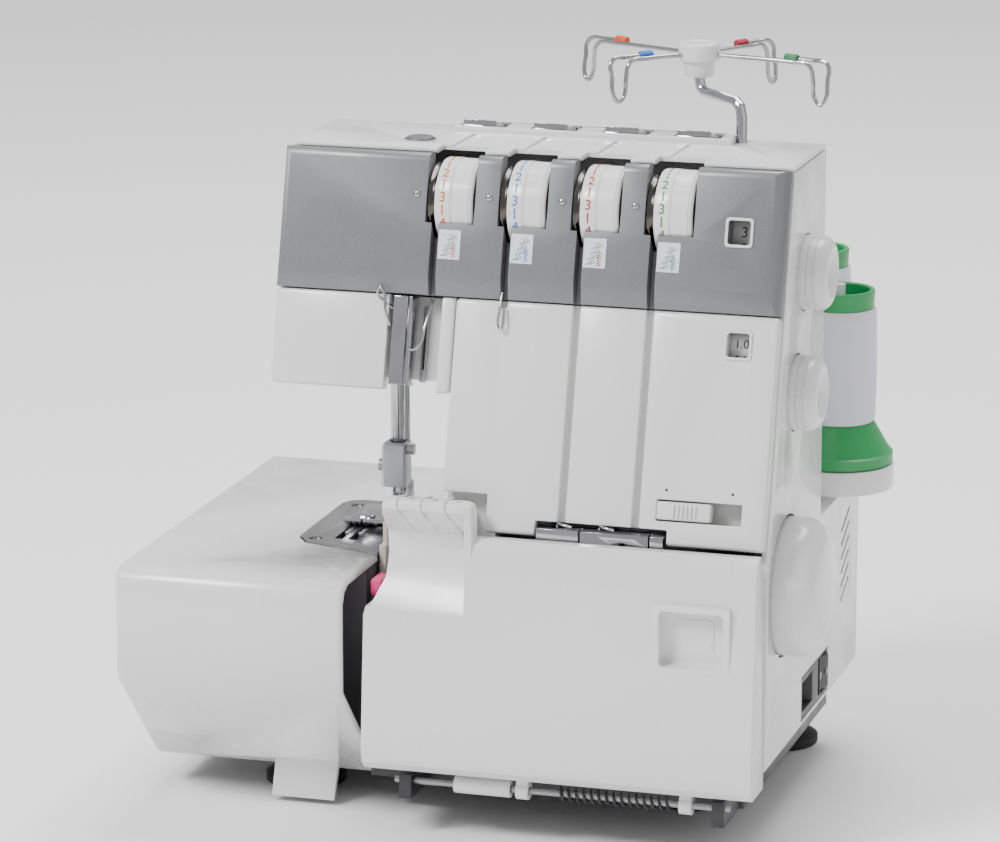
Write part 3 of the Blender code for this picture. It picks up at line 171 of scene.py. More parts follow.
def moulded(name, value, rough=(0.24, 0.36), metal=0.0, grain=0.02, coat=0.0, flecks=0.0):
    """Moulded or painted plastic with faint flow marks, a painted highlight along sharp edges and fine grain.
    """
    finish, tree, shader = new_finish(name)
    flow = noise(tree, 14.0, 4.0, (1, 1, 0.6))
    tint = tinted(tree, graded(tree, flow, 0.0, 1.0), scaled(value, 0.972), scaled(value, 1.02))
    # Painted highlight: the colour is lighter along sharp convex edges (Pointiness), standing in for gloss
    # catching the light there.
    edge_highlight_geometry = tree.nodes.new("ShaderNodeNewGeometry")
    edge = graded(tree, edge_highlight_geometry.outputs["Pointiness"], 0.0, 0.35, 0.53, 0.62)
    mix = tree.nodes.new("ShaderNodeMix")
    mix.data_type = "RGBA"
    tree.links.new(edge, mix.inputs["Factor"])
    tree.links.new(tint, mix.inputs["A"])
    mix.inputs["B"].default_value = (*scaled(value, 1.10 if metal == 0 else 1.9), 1)
    result = mix.outputs["Result"]
    if flecks:
        spark = noise(tree, 2600.0, 1.0)
        last = tree.nodes.new("ShaderNodeMix")
        last.data_type = "RGBA"
        tree.links.new(graded(tree, spark, 0.0, flecks, 0.58, 0.72), last.inputs["Factor"])
        tree.links.new(result, last.inputs["A"])
        last.inputs["B"].default_value = (*scaled(value, 2.1), 1)
        result = last.outputs["Result"]
    tree.links.new(result, shader.inputs["Base Color"])
    tree.links.new(graded(tree, noise(tree, 55.0, 5.0), *rough), shader.inputs["Roughness"])
    shader.inputs["Metallic"].default_value = metal
    shader.inputs["Coat Weight"].default_value = coat
    shader.inputs["Coat Roughness"].default_value = 0.12
    raised(tree, shader, noise(tree, 1500.0, 2.0), grain, 0.0002)
    return finish


def metal(name, value, rough=(0.10, 0.22), brushed=(1, 1, 1), grain=0.05, scale=220.0):
    """Plated or ground metal with faint streaks and dulled patches."""
    finish, tree, shader = new_finish(name)
    streak = noise(tree, scale, 4.0, brushed)
    cloud = noise(tree, 35.0, 5.0)
    tint = tinted(tree, graded(tree, cloud, 0.0, 1.0), scaled(value, 0.86), scaled(value, 1.06))
    tree.links.new(tint, shader.inputs["Base Color"])
    tree.links.new(graded(tree, cloud, *rough), shader.inputs["Roughness"])
    shader.inputs["Metallic"].default_value = 1.0
    raised(tree, shader, streak, grain, 0.0002)
    return finish


def wound_thread(name, value):
    """Thread wound in shallow crossing helices."""
    finish, tree, shader = new_finish(name)
    where = tree.nodes.new("ShaderNodeUVMap")
    lines = None
    for slope in (0.35, -0.35):
        mapping = tree.nodes.new("ShaderNodeMapping")
        mapping.inputs["Rotation"].default_value = (0, 0, slope)
        tree.links.new(where.outputs["UV"], mapping.inputs["Vector"])
        wave = tree.nodes.new("ShaderNodeTexWave")
        wave.bands_direction = "Y"
        wave.inputs["Scale"].default_value = 46.0
        wave.inputs["Distortion"].default_value = 1.2
        wave.inputs["Detail"].default_value = 2.0
        tree.links.new(mapping.outputs["Vector"], wave.inputs["Vector"])
        if lines is None:
            lines = wave.outputs["Fac"]
        else:
            both = tree.nodes.new("ShaderNodeMath")
            both.operation = "MAXIMUM"
            tree.links.new(lines, both.inputs[0])
            tree.links.new(wave.outputs["Fac"], both.inputs[1])
            lines = both.outputs["Value"]
    tint = tinted(tree, graded(tree, lines, 0.0, 1.0, 0.1, 0.9), scaled(value, 0.80), scaled(value, 1.06))
    tree.links.new(tint, shader.inputs["Base Color"])
    shader.inputs["Roughness"].default_value = 0.7
    shader.inputs["Sheen Weight"].default_value = 0.3
    raised(tree, shader, lines, 0.25, 0.0004)
    return finish


def plain(name, value, rough=0.45):
    """Printed ink or enamel with slightly uneven density; also the flat dark colour of sheets painted as
    shade in recesses.
    """
    finish, tree, shader = new_finish(name)
    tint = tinted(
        tree, graded(tree, noise(tree, 900.0, 2.0), 0.0, 1.0), scaled(value, 0.9), scaled(value, 1.05))
    tree.links.new(tint, shader.inputs["Base Color"])
    shader.inputs["Roughness"].default_value = rough
    return finish


def make_finishes():
    hue = colours()
    made = {
        "shell": moulded("white shell", tuple(hue.shell), (0.20, 0.32), coat=0.25),
        "panel": moulded("grey metallic panel", tuple(hue.panel), (0.34, 0.46), 0.25, 0.03, 0.15, 0.35),
        "black": moulded("black plastic", (0.022, 0.022, 0.024), (0.30, 0.48), grain=0.08),
        "rubber": moulded("black rubber", (0.012, 0.012, 0.012), (0.68, 0.85), grain=0.25),
        "pink": moulded("pink lever plastic", tuple(hue.lever), (0.22, 0.34), coat=0.2),
        "cone": moulded("green cone plastic", tuple(hue.cone), (0.34, 0.46), grain=0.04),
        "beige": moulded("pale knife holder", (0.50, 0.47, 0.40), (0.35, 0.5), grain=0.08),
        "clear": clear_shield("clear shield"),
        "chrome": metal("polished chrome", (0.44, 0.44, 0.455), (0.05, 0.14), grain=0.01),
        "steel": metal("ground steel", (0.34, 0.34, 0.35), (0.22, 0.38), (1, 1, 9), 0.12),
        "plate": metal("brushed plate", (0.36, 0.36, 0.37), (0.20, 0.34), (1, 14, 1), 0.10, 400.0),
        "dark": moulded("dark looper metal", (0.125, 0.12, 0.13), (0.36, 0.52), 0.3, 0.12),
        "disc": metal("dark tension disc", (0.10, 0.095, 0.09), (0.14, 0.26), grain=0.02),
        "cast": metal("cast alloy", (0.36, 0.37, 0.38), (0.50, 0.68), grain=0.45, scale=600.0),
        "winding": wound_thread("wound thread", tuple(hue.winding)),
        "sticker": plain("pale blue sticker", (0.68, 0.76, 0.80), 0.35),
        "ink": plain("dark ink", (0.03, 0.03, 0.035)),
        # Painted shade: near-black sheets that stand for the shade inside slots and screw recesses.
        "recess_shade": plain("dark recess", (0.012, 0.012, 0.013), 0.8),
    }
    for name in THREAD_NAMES:
        made[name] = plain(name + " ink", tuple(getattr(hue, name)), 0.4)
    return made


def clear_shield(name):
    finish, tree, shader = new_finish(name)
    shader.inputs["Base Color"].default_value = (0.86, 0.88, 0.90, 1)
    shader.inputs["Transmission Weight"].default_value = 0.85
    shader.inputs["Alpha"].default_value = 0.45
    tree.links.new(graded(tree, noise(tree, 160.0), 0.04, 0.12), shader.inputs["Roughness"])
    return finish


FINISHES = {}


# ---- ways of making ------------------------------------------------------------------------
def start_clean():
    if bpy.context.object and bpy.context.object.mode != "OBJECT":
        bpy.ops.object.mode_set(mode="OBJECT")
    bpy.ops.object.select_all(action="DESELECT")


def pick(piece):
    start_clean()
    piece.select_set(True)
    bpy.context.view_layer.objects.active = piece


def finish_piece(piece, name, body, finish, angle=35):
    """Name a piece, put its place in its mesh, shade it and make it ride on its body."""
    piece.name = name
    piece.data.name = name
    pick(piece)
    bpy.ops.object.transform_apply(location=True, rotation=True, scale=True)
    if angle:
        bpy.ops.object.shade_smooth_by_angle(angle=math.radians(angle))
    piece.data.materials.clear()
    piece.data.materials.append(FINISHES[finish])
    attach(piece, body)
    return piece


def worked(node, finish, width=0.0, segments=2, angle=35, limit=32):
    """A softened copy of a frame node that stands in its place."""
    source = frame["nodes"][node]
    data = source.data.copy()
    piece = bpy.data.objects.new(node + "_finished", data)
    bpy.context.scene.collection.objects.link(piece)
    pick(piece)
    bpy.ops.object.mode_set(mode="EDIT")
    bpy.ops.mesh.select_all(action="SELECT")
    bpy.ops.mesh.remove_doubles(threshold=0.000004)
    bpy.ops.mesh.dissolve_limited(angle_limit=math.radians(0.6))
    bpy.ops.object.mode_set(mode="OBJECT")
    if width:
        tool = piece.modifiers.new("edges", "BEVEL")
        tool.width = width
        tool.segments = segments
        tool.limit_method = "ANGLE"
        tool.angle_limit = math.radians(limit)
        tool.harden_normals = False
        bpy.ops.object.modifier_apply(modifier=tool.name)
    finish_piece(piece, node + "_finished", BODY_OF[node], finish, angle)
    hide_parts(node)
    return piece


def dressed(node, finish):
    """Give a frame node that keeps its own mesh a finish."""
    source = frame["nodes"][node]
    source.data.materials.clear()
    source.data.materials.append(FINISHES[finish])


AXES = {
    "x": Matrix.Rotation(math.radians(90), 4, "Y"),
    "z": Matrix.Identity(4),
}


def turned(name, rings, centre, axis, body, finish, steps=64, angle=35, closed=True):
    """A turned shape: a circle run along its axis through (radius, height) rings."""
    start_clean()
    radius, height = rings[0]
    bpy.ops.mesh.primitive_circle_add(
        vertices=steps, radius=radius, fill_type="NGON" if closed else "NOTHING", location=(0, 0, height))
    piece = bpy.context.object
    bpy.ops.object.transform_apply(location=True)
    bpy.ops.object.mode_set(mode="EDIT")
    bpy.ops.mesh.select_mode(type="VERT")
    bpy.ops.mesh.select_all(action="SELECT")
    for next_radius, next_height in rings[1:]:
        bpy.ops.mesh.extrude_region_move(TRANSFORM_OT_translate={"value": (0, 0, next_height - height)})
        share = next_radius / radius
        bpy.ops.transform.resize(value=(share, share, 1), center_override=(0, 0, next_height))
        radius, height = next_radius, next_height
    if not closed:
        bpy.ops.mesh.select_all(action="SELECT")
        bpy.ops.mesh.remove_doubles(threshold=0.000001)
    bpy.ops.mesh.select_all(action="SELECT")
    bpy.ops.mesh.normals_make_consistent(inside=False)
    bpy.ops.object.mode_set(mode="OBJECT")
    piece.matrix_world = Matrix.Translation(centre) @ AXES[axis]
    return finish_piece(piece, name, body, finish, angle)


def ribbed(piece, axis, middle, low, high, depth):
    """Sink every second face of a turned piece's band."""
    form = bmesh.new()
    form.from_mesh(piece.data)
    chosen = []
    for face in form.faces:
        spot = face.calc_center_median()
        along = spot.x if axis == "x" else spot.z
        if low < along < high and len(face.verts) == 4:
            turn = math.atan2(spot.z - middle.z, spot.y - middle.y) if axis == "x" else 0
            chosen.append((turn, face))
    chosen.sort(key=lambda item: item[0])
    form.faces.index_update()
    numbers = [face.index for _, face in chosen][::2]
    form.free()
    pick(piece)
    bpy.ops.object.mode_set(mode="EDIT")
    bpy.ops.mesh.select_all(action="DESELECT")
    bpy.ops.object.mode_set(mode="OBJECT")
    for number in numbers:
        piece.data.polygons[number].select = True
    bpy.ops.object.mode_set(mode="EDIT")
    bpy.ops.mesh.select_mode(type="FACE")
    bpy.ops.mesh.extrude_region_shrink_fatten(TRANSFORM_OT_shrink_fatten={"value": -depth})
    bpy.ops.object.mode_set(mode="OBJECT")


def wire(name, points, radius, body, finish, smooth=True, closed=False):
    """A round wire through the given points."""
    start_clean()
    curve = bpy.data.curves.new(name, "CURVE")
    curve.dimensions = "3D"
    curve.bevel_depth = radius
    curve.bevel_resolution = 3
    curve.resolution_u = 6
    curve.use_fill_caps = not closed
    line = curve.splines.new("BEZIER" if smooth else "POLY")
    if smooth:
        line.bezier_points.add(len(points) - 1)
        for spot, point in zip(line.bezier_points, points):
            spot.co = point
            spot.handle_left_type = spot.handle_right_type = "AUTO"
    else:
        line.points.add(len(points) - 1)
        for spot, point in zip(line.points, points):
            spot.co = (*point, 1)
    line.use_cyclic_u = closed
    piece = bpy.data.objects.new(name, curve)
    bpy.context.scene.collection.objects.link(piece)
    pick(piece)
    bpy.ops.object.convert(target="MESH")
    piece = bpy.context.object
    bpy.ops.object.mode_set(mode="EDIT")
    bpy.ops.mesh.select_all(action="SELECT")
    bpy.ops.mesh.remove_doubles(threshold=0.000002)
    bpy.ops.mesh.normals_make_consistent(inside=False)
    bpy.ops.object.mode_set(mode="OBJECT")
    return finish_piece(piece, name, body, finish, 60)


def block(name, low, high, body, finish, edge=0.0003, segments=2, place=None):
    """A softened block between two corners."""
    start_clean()
    low, high = Vector(low), Vector(high)
    bpy.ops.mesh.primitive_cube_add(size=1, location=(low + high) / 2, scale=high - low)
    piece = bpy.context.object
    bpy.ops.object.transform_apply(location=True, rotation=False, scale=True)
    bpy.ops.object.mode_set(mode="EDIT")
    bpy.ops.mesh.select_all(action="SELECT")
    bpy.ops.mesh.bevel(offset=edge, segments=segments, affect="EDGES")
    bpy.ops.object.mode_set(mode="OBJECT")
    if place is not None:
        piece.matrix_world = place
    return finish_piece(piece, name, body, finish)


def face_place(x, height, out=0.0):
    """A frame on the leaning face: X right, Y up the face, Z outwards."""
    turn = Matrix((Vector((1, 0, 0)), FACE_UP, FACE_OUT)).transposed().to_4x4()
    at = Vector((x, FOOT.y + (height - FOOT.z) * math.tan(LEAN), height)) + FACE_OUT * out
    return Matrix.Translation(at) @ turn


def rim_frame(spin):
    """Outward direction on a dial's rim, and a frame there: X right, Y up the rim, Z outwards."""
    out = Vector((0, -math.cos(spin), math.sin(spin)))
    up = Vector((0, math.sin(spin), math.cos(spin)))
    return out, Matrix((Vector((1, 0, 0)), up, out)).transposed().to_4x4()


def flat_dot(name, radius, segments, height, place, finish):
    """A flattened sphere, its height given as a share of its width."""
    start_clean()
    bpy.ops.mesh.primitive_uv_sphere_add(segments=segments, ring_count=segments // 2, radius=radius)
    piece = bpy.context.object
    bpy.ops.transform.resize(value=(1, 1, height))
    bpy.ops.object.transform_apply(location=False, rotation=False, scale=True)
    piece.matrix_world = place
    return finish_piece(piece, name, "chassis", finish, 60)


def lettering(name, words, size, place, body, finish, thick=0.00006):
    """Flat raised characters in the frame given by place, centred."""
    start_clean()
    bpy.ops.object.text_add()
    piece = bpy.context.object
    piece.data.body = words
    piece.data.size = size
    piece.data.align_x = "CENTER"
    piece.data.align_y = "CENTER"
    piece.data.extrude = thick
    bpy.ops.object.convert(target="MESH")
    piece = bpy.context.object
    piece.matrix_world = place
    return finish_piece(piece, name, body, finish, 0)


def merged(name, pieces):
    """Join pieces that share a body and a finish into one."""
    start_clean()
    for piece in pieces:
        piece.select_set(True)
    bpy.context.view_layer.objects.active = pieces[0]
    bpy.ops.object.join()
    pieces[0].name = name
    return pieces[0]


# ---- operators -----------------------------------------------------------------------------
class SERGER_OT_casings(bpy.types.Operator):
    """Soften and finish the moulded casings"""
    bl_idname = "serger.casings"
    bl_label = "Casings"

    def execute(self, context):
        edge = sizes().edge
        worked("side_cover", "shell", 0.0, angle=50)
        worked("front_cover", "shell", edge * 1.3, 3)
        worked("rear_casing", "shell", edge * 0.5, 2)
        worked("column_cover", "shell", edge * 0.8, 3)
        worked("head_cover", "shell", edge * 0.8, 3)
        worked("top_cover", "shell", edge * 0.4, 2)
        worked("face_panel", "panel", edge * 0.7, 3, 30, 40)
        worked("spool_tray", "shell", edge, 3)
        worked("hinge_sleeve", "shell", 0.0004, 2)
        worked("base_plate", "black", 0.0005, 2)
        worked("power_inlet", "black", 0.0004, 2)
        worked("power_rocker", "black", 0.0005, 3)
        worked("presser_lifter", "black", 0.0012, 3)
        return {"FINISHED"}


class SERGER_OT_metalwork(bpy.types.Operator):
    """Finish the bars, plates, guides and hidden works"""
    bl_idname = "serger.metalwork"
    bl_label = "Metalwork"

    def execute(self, context):
        fine = sizes().fine_edge
        for node in ("needle_bar", "presser_bar", "thread_pole"):
            worked(node, "chrome", fine, 2, 40)
        for node in ("hinge_rod", "main_shaft", "motor_pulley"):
            worked(node, "steel", fine, 2, 40)
        worked("needle_plate", "plate", fine, 2)
        worked("presser_foot", "chrome", fine * 1.4, 3)
        worked("needle_clamp", "steel", fine, 2, 35)
        worked("needle_guard", "chrome", fine * 2, 3)
        worked("looper_guides", "chrome", fine, 2)
        worked("top_guides", "chrome", fine, 2)
        worked("looper_block", "dark", fine * 2, 2)
        worked("upper_knife", "beige", fine * 2, 2)
        worked("upper_looper", "steel", fine, 2)
        worked("lower_looper", "steel", fine, 2)
        worked("feed_dog", "steel", fine, 2)
        worked("machine_frame", "cast", fine * 3, 2)
        worked("motor", "cast", fine * 4, 2)
        worked("drive_belt", "rubber", 0.0, 2, 60)
        worked("cover_spring", "black", 0.0, 2, 70)
        dressed("presser_spring", "steel")
        worked("pressure_screw", "dark", fine * 2, 2)
        worked("setting_lever", "pink", fine * 2, 3, 50)
        for number in range(1, 5):
            worked(f"foot_{number}", "rubber", 0.0004, 2, 40)
            worked(f"tension_discs_{number}", "disc", 0.0, 2, 50)
        for node in ("stitch_length_drum", "feed_ratio_drum"):
            worked(node, "shell", 0.0003, 2, 40)
        worked("hem_selector", "shell", fine, 2)
        return {"FINISHED"}


class SERGER_OT_handwheel(bpy.types.Operator):
    """Turn the domed handwheel"""
    bl_idname = "serger.handwheel"
    bl_label = "Handwheel"

    def execute(self, context):
        low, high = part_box("handwheel")
        middle = Vector((0, (low.y + high.y) / 2, (low.z + high.z) / 2))
        r = (high.z - low.z) / 2
        start, end = low.x, high.x
        rings = [
            (0.0055, start + 0.004), (0.010, start + 0.0012), (r * 0.8, start + 0.0004), (r - 0.0006, start),
            (r, start + 0.0008)]
        rings += [
            (r, end - 0.0145), (r - 0.0002, end - 0.0120), (r - 0.0008, end - 0.0098),
            (r - 0.0019, end - 0.0077), (r - 0.0036, end - 0.0056), (r - 0.0058, end - 0.0039),
            (r - 0.0088, end - 0.0024), (r - 0.0128, end - 0.0013), (r - 0.0180, end - 0.0006),
            (r - 0.0250, end - 0.0002), (0.0015, end)]
        piece = turned("handwheel_dome", rings, middle, "x", "wheel", "shell", 96, 40)
        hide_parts("handwheel")
        return {"FINISHED"}


class SERGER_OT_knobs(bpy.types.Operator):
    """Turn the two ribbed side knobs with dished ends"""
    bl_idname = "serger.knobs"
    bl_label = "Side knobs"

    def execute(self, context):
        for node, body in (("stitch_length_knob", "stitch_knob"), ("feed_ratio_knob", "feed_knob")):
            low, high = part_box(node)
            middle = Vector((0, (low.y + high.y) / 2, (low.z + high.z) / 2))
            r = (high.z - low.z) / 2
            start, end = low.x, high.x
            rings = [
                (0.002, start), (r - 0.0008, start), (r, start + 0.0006), (r, end - 0.0098),
                (r - 0.0005, end - 0.0096), (r - 0.0004, end - 0.0094), (r - 0.0001, end - 0.0092),
                (r - 0.0001, end - 0.0058), (r - 0.0004, end - 0.0056), (r - 0.0002, end - 0.0053),
                (r - 0.0008, end - 0.0030), (r - 0.0019, end - 0.0015), (r - 0.0034, end - 0.0005),
                (r - 0.0052, end), (r - 0.0068, end - 0.0001), (r - 0.0076, end - 0.0008),
                (r - 0.0084, end - 0.0009), (r - 0.0098, end - 0.0017), (r - 0.0125, end - 0.0030),
                (0.0012, end - 0.0038)]
            piece = turned(node + "_grip", rings, middle, "x", body, "shell", sizes().knob_steps * 2, 38)
            ribbed(piece, "x", middle, end - 0.0090, end - 0.0060, sizes().rib_depth)
            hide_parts(node)
        return {"FINISHED"}


class SERGER_OT_dials(bpy.types.Operator):
    """Turn the four tension dials and print their numbers"""
    bl_idname = "serger.dials"
    bl_label = "Tension dials"

    def execute(self, context):
        for number, name in enumerate(THREAD_NAMES, 1):
            node = f"tension_dial_{number}"
            body = f"dial_{number}"
            low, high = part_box(node)
            middle = Vector((0, (low.y + high.y) / 2, (low.z + high.z) / 2))
            r = (high.z - low.z) / 2
            a, b = low.x, high.x
            rings = [
                (0.0034, a), (r - 0.0014, a), (r - 0.0005, a + 0.0003), (r - 0.0001, a + 0.0012),
                (r, a + 0.0074), (r - 0.0003, a + 0.0078), (r, a + 0.0082), (r, b - 0.0022),
                (r - 0.0004, b - 0.0018), (r - 0.0003, b - 0.0014), (r - 0.0008, b - 0.0005), (r - 0.0018, b),
                (r - 0.0040, b - 0.0008), (0.0034, b - 0.0008)]
            piece = turned(node + "_wheel", rings, middle, "x", body, "shell", sizes().dial_steps * 2, 34)
            ribbed(piece, "x", middle, a + 0.0083, b - 0.0023, sizes().rib_depth)
            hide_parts(node)
            marks = []
            for digit in range(10):
                turn = math.radians(14.7) - sizes().digit_step * (digit - 3)
                for half, words, size in ((0.0, str(digit), sizes().digit), (0.5, "I", sizes().digit * 1.05)):
                    spin = turn - sizes().digit_step * half
                    if digit == 9 and half:
                        continue
                    out, place = rim_frame(spin)
                    at = Matrix.Translation(middle + Vector((a + 0.0042, 0, 0)) + out * (r - 0.00003)) @ place
                    marks.append(lettering(f"{name}_mark_{digit}_{words}", words, size, at, body, name))
            merged(f"{name}_dial_numbers", marks)
        return {"FINISHED"}


class SERGER_OT_front_marks(bpy.types.Operator):
    """Stitch stickers, silver dots, windows and numbers of the front"""
    bl_idname = "serger.front_marks"
    bl_label = "Front marks"

    def execute(self, context):
        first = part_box("tension_dial_1")[0].x + 0.0008
        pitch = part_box("tension_dial_2")[0].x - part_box("tension_dial_1")[0].x
        for number, name in enumerate(THREAD_NAMES):
            x = first + pitch * number
            place = face_place(x + 0.0058, 0.2805, PROUD + 0.00002)
            block(
                name + "_sticker", (-0.0036, -0.0070, 0.0), (0.0073, 0.0070, 0.00022), "chassis", "sticker",
                0.00010, 1, place)
            lines = []
            for row in range(2):
                zigzag = []
                for step in range(9):
                    across = -0.0022 + 0.0017 * row + (0.0024 if step % 2 else 0.0)
                    zigzag.append(place @ Vector((across + step * 0.0005, -0.0055 + step * 0.0013, 0.0003)))
                lines.append(wire(f"{name}_stitch_{row}", zigzag, 0.00016, "chassis", "ink", False))
            merged(name + "_stitches", lines)
            tag = []
            for step in range(5):
                loop = [
                    (0.0030, -0.0060 + step * 0.0013), (0.0052, -0.0054 + step * 0.0013),
                    (0.0034, -0.0048 + step * 0.0013)]
                spots = [place @ Vector((u, v, 0.0003)) for u, v in loop]
                tag.append(wire(f"{name}_loop_{step}", spots, 0.00018, "chassis", name, False))
            merged(name + "_loops", tag)
        dots = []
        for number in range(4):
            place = face_place(first + pitch * number - 0.0101, 0.3030, PROUD)
            dots.append(flat_dot(f"silver_dot_{number}", sizes().dot, 28, 0.62, place, "chrome"))
        merged("silver_dots", dots)
        ring = [(0.0065 * scale, 0.0068 * scale) for scale in (1.0, 0.86)]
        windows = (
            ("stitch", "stitch_length_drum", 0.1230, 0.2935, PROUD, 0.0072, ("3", "2", "4")),
            ("feed", "feed_ratio_drum", 0.1255, 0.2430, 0.0, 0.0058, ("1.0", "0.7", "1.3")),
        )
        for tag, node, x, height, proud, size, figures in windows:
            self.bezel(tag, x, height, proud, ring)
            low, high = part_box(node)
            centre = Vector((x, (low.y + high.y) / 2, (low.z + high.z) / 2))
            radius = (high.z - low.z) / 2
            marks = []
            for step, text in zip((0, 1, -1), figures):
                out, turn = rim_frame(LEAN + math.radians(4 - 40 * step))
                at = Matrix.Translation(centre + out * radius) @ turn
                marks.append(lettering(f"{tag}_figure_{step}", text, size, at, tag + "_drum", "ink"))
            merged(tag + "_figures", marks)
        pair = []
        low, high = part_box("hem_selector")
        for x in (low.x + 0.004, high.x + 0.010):
            name = f"selector_dot_{x:.3f}".replace(".", "_")
            pair.append(flat_dot(name, 0.0007, 20, 0.3, face_place(x, high.z + 0.0052, 0.0), "ink"))
        merged("selector_dots", pair)
        block(
            "selector_lining", (-0.0240, -0.0080, 0.0), (0.0240, 0.0080, 0.0006), "chassis", "shell", 0.0002,
            1, face_place(0.1125, 0.1665, -0.0125))
        return {"FINISHED"}

    def bezel(self, tag, x, height, proud, ring):
        """A rounded raised frame round a window."""
        start_clean()
        curve = bpy.data.curves.new(tag + "_bezel", "CURVE")
        curve.dimensions = "2D"
        curve.fill_mode = "BOTH"
        curve.extrude = 0.0003
        curve.bevel_depth = 0.0002
        for half_x, half_y in ring:
            line = curve.splines.new("POLY")
            points = []
            for quarter in range(4):
                cx = (half_x - 0.0016) * (1 if quarter in (0, 3) else -1)
                cy = (half_y - 0.0016) * (1 if quarter in (0, 1) else -1)
                for step in range(6):
                    turn = math.radians(90 * quarter + 18 * step)
                    points.append((cx + 0.0016 * math.cos(turn), cy + 0.0016 * math.sin(turn)))
            line.points.add(len(points) - 1)
            for spot, point in zip(line.points, points):
                spot.co = (*point, 0, 1)
            line.use_cyclic_u = True
        piece = bpy.data.objects.new(tag + "_bezel", curve)
        bpy.context.scene.collection.objects.link(piece)
        pick(piece)
        bpy.ops.object.convert(target="MESH")
        piece = bpy.context.object
        piece.matrix_world = face_place(x, height, proud + 0.0003)
        finish_piece(piece, tag + "_window_bezel", "chassis", "shell", 40)


class SERGER_OT_cones(bpy.types.Operator):
    """Thread cones with faceted feet, hollow rims and wound thread"""
    bl_idname = "serger.cones"
    bl_label = "Thread cones"

    def execute(self, context):
        for number in range(1, 5):
            node = f"thread_cone_{number}"
            low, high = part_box(node)
            centre = Vector(((low.x + high.x) / 2, (low.y + high.y) / 2, 0))
            r = (high.x - low.x) / 2
            z, top = low.z, high.z
            rings = [
                (0.0078, z + 0.0060), (0.0078, z), (r - 0.0006, z), (r, z + 0.0006), (r, z + 0.0052),
                (r - 0.0012, z + 0.0060), (0.0180, z + 0.0200), (0.0165, z + 0.0212), (0.0160, top - 0.0100),
                (0.0168, top - 0.0090), (0.0172, top - 0.0006), (0.0168, top), (0.0152, top),
                (0.0147, top - 0.0006), (0.0142, top - 0.0300), (0.0128, z + 0.0200), (0.0078, z + 0.0060)]
            cone = turned(node + "_shell", rings, centre, "z", "chassis", "cone", 24, 20, closed=False)
            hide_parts(node)
            a, b = z + 0.0205, top - 0.0090
            rings = [(0.0158, a), (0.0172, a + 0.0002), (0.0181, a + 0.0014)]
            for step in range(1, 13):
                share = step / 13
                swell = 0.0181 + 0.0006 * math.sin(share * math.pi) + 0.0001 * (step % 2)
                rings.append((swell, a + 0.0014 + (b - a - 0.0024) * share))
            rings += [(0.0180, b - 0.0008), (0.0172, b), (0.0158, b - 0.0002)]
            winding = turned(
                node + "_winding", rings, centre, "z", "chassis", "winding", 72, 50, closed=False)
            self.unroll(winding, centre)
        return {"FINISHED"}

    def unroll(self, piece, centre):
        """Lay the winding out flat on its UV map: turn across, height up."""
        layer = piece.data.uv_layers.new(name="UVMap")
        for face in piece.data.polygons:
            middle = math.atan2(face.center.y - centre.y, face.center.x - centre.x)
            for corner in face.loop_indices:
                spot = piece.data.vertices[piece.data.loops[corner].vertex_index].co
                turn = math.atan2(spot.y - centre.y, spot.x - centre.x)
                if turn - middle > math.pi:
                    turn -= 2 * math.pi
                if middle - turn > math.pi:
                    turn += 2 * math.pi
                layer.data[corner].uv = (turn * 1.2, (spot.z - 0.14) * 60)


class SERGER_OT_thread_stand(bpy.types.Operator):
    """Hub, wires and coloured caps of the thread stand"""
    bl_idname = "serger.thread_stand"
    bl_label = "Thread stand"

    def execute(self, context):
        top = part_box("thread_head")[1].z
        hub = Vector((0.0785, 0.0150, 0))
        rings = [
            (0.0060, top - 0.0086), (0.0100, top - 0.0084), (0.0102, top - 0.0078), (0.0102, top - 0.0010),
            (0.0098, top - 0.0003), (0.0088, top + 0.0002), (0.0070, top + 0.00005), (0.0066, top - 0.0002),
            (0.0010, top - 0.0001)]
        turned("hub_cap", rings, hub, "z", "stand", "shell", 64, 35)
        rings = [
            (0.0040, top - 0.0164), (0.0068, top - 0.0164), (0.0074, top - 0.0156), (0.0079, top - 0.0100),
            (0.0079, top - 0.0086), (0.0040, top - 0.0086)]
        turned("hub_stem", rings, hub, "z", "stand", "shell", 64, 35)
        places = ((-0.060, 0.024), (-0.029, -0.031), (0.025, 0.040), (0.0605, -0.015))
        height = top - 0.0055
        arms = []
        for (dx, dy), name in zip(places, THREAD_NAMES):
            way = Vector((dx, dy, 0))
            reach = way.length + 0.006
            way.normalize()
            side = Vector((-way.y, way.x, 0))
            if side.y < 0:
                side = -side

            def at(out, up, aside=0.0):
                return hub + way * out + side * aside + Vector((0, 0, height + up))

            path = [
                at(0.0070, 0), at(reach - 0.0180, 0), at(reach - 0.0105, -0.0004),
                at(reach - 0.0080, -0.0026), at(reach - 0.0068, -0.0080), at(reach - 0.0052, -0.0180),
                at(reach - 0.0026, -0.0196), at(reach - 0.0006, -0.0178, 0.0006), at(reach, -0.0080, 0.0022),
                at(reach, -0.0022, 0.0032), at(reach - 0.0022, 0.0004, 0.0038),
                at(reach - 0.0090, 0.0008, 0.0042), at(reach - 0.0190, 0.0008, 0.0044)]
            arms.append(wire(name + "_path_arm", path, 0.00112, "stand", "chrome"))
            start_clean()
            bpy.ops.mesh.primitive_cylinder_add(vertices=40, radius=0.0022, depth=0.0074)
            piece = bpy.context.object
            bpy.ops.object.mode_set(mode="EDIT")
            bpy.ops.mesh.select_all(action="SELECT")
            bpy.ops.mesh.bevel(offset=0.0009, segments=3, affect="EDGES")
            bpy.ops.object.mode_set(mode="OBJECT")
            along = way.to_track_quat("Z", "Y").to_matrix().to_4x4()
            piece.matrix_world = Matrix.Translation(at(reach - 0.0205, 0.0008, 0.0044)) @ along
            finish_piece(piece, name + "_path_cap", "stand", name, 50)
        head = merged("thread_head_arms", arms)
        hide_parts("thread_head")
        return {"FINISHED"}


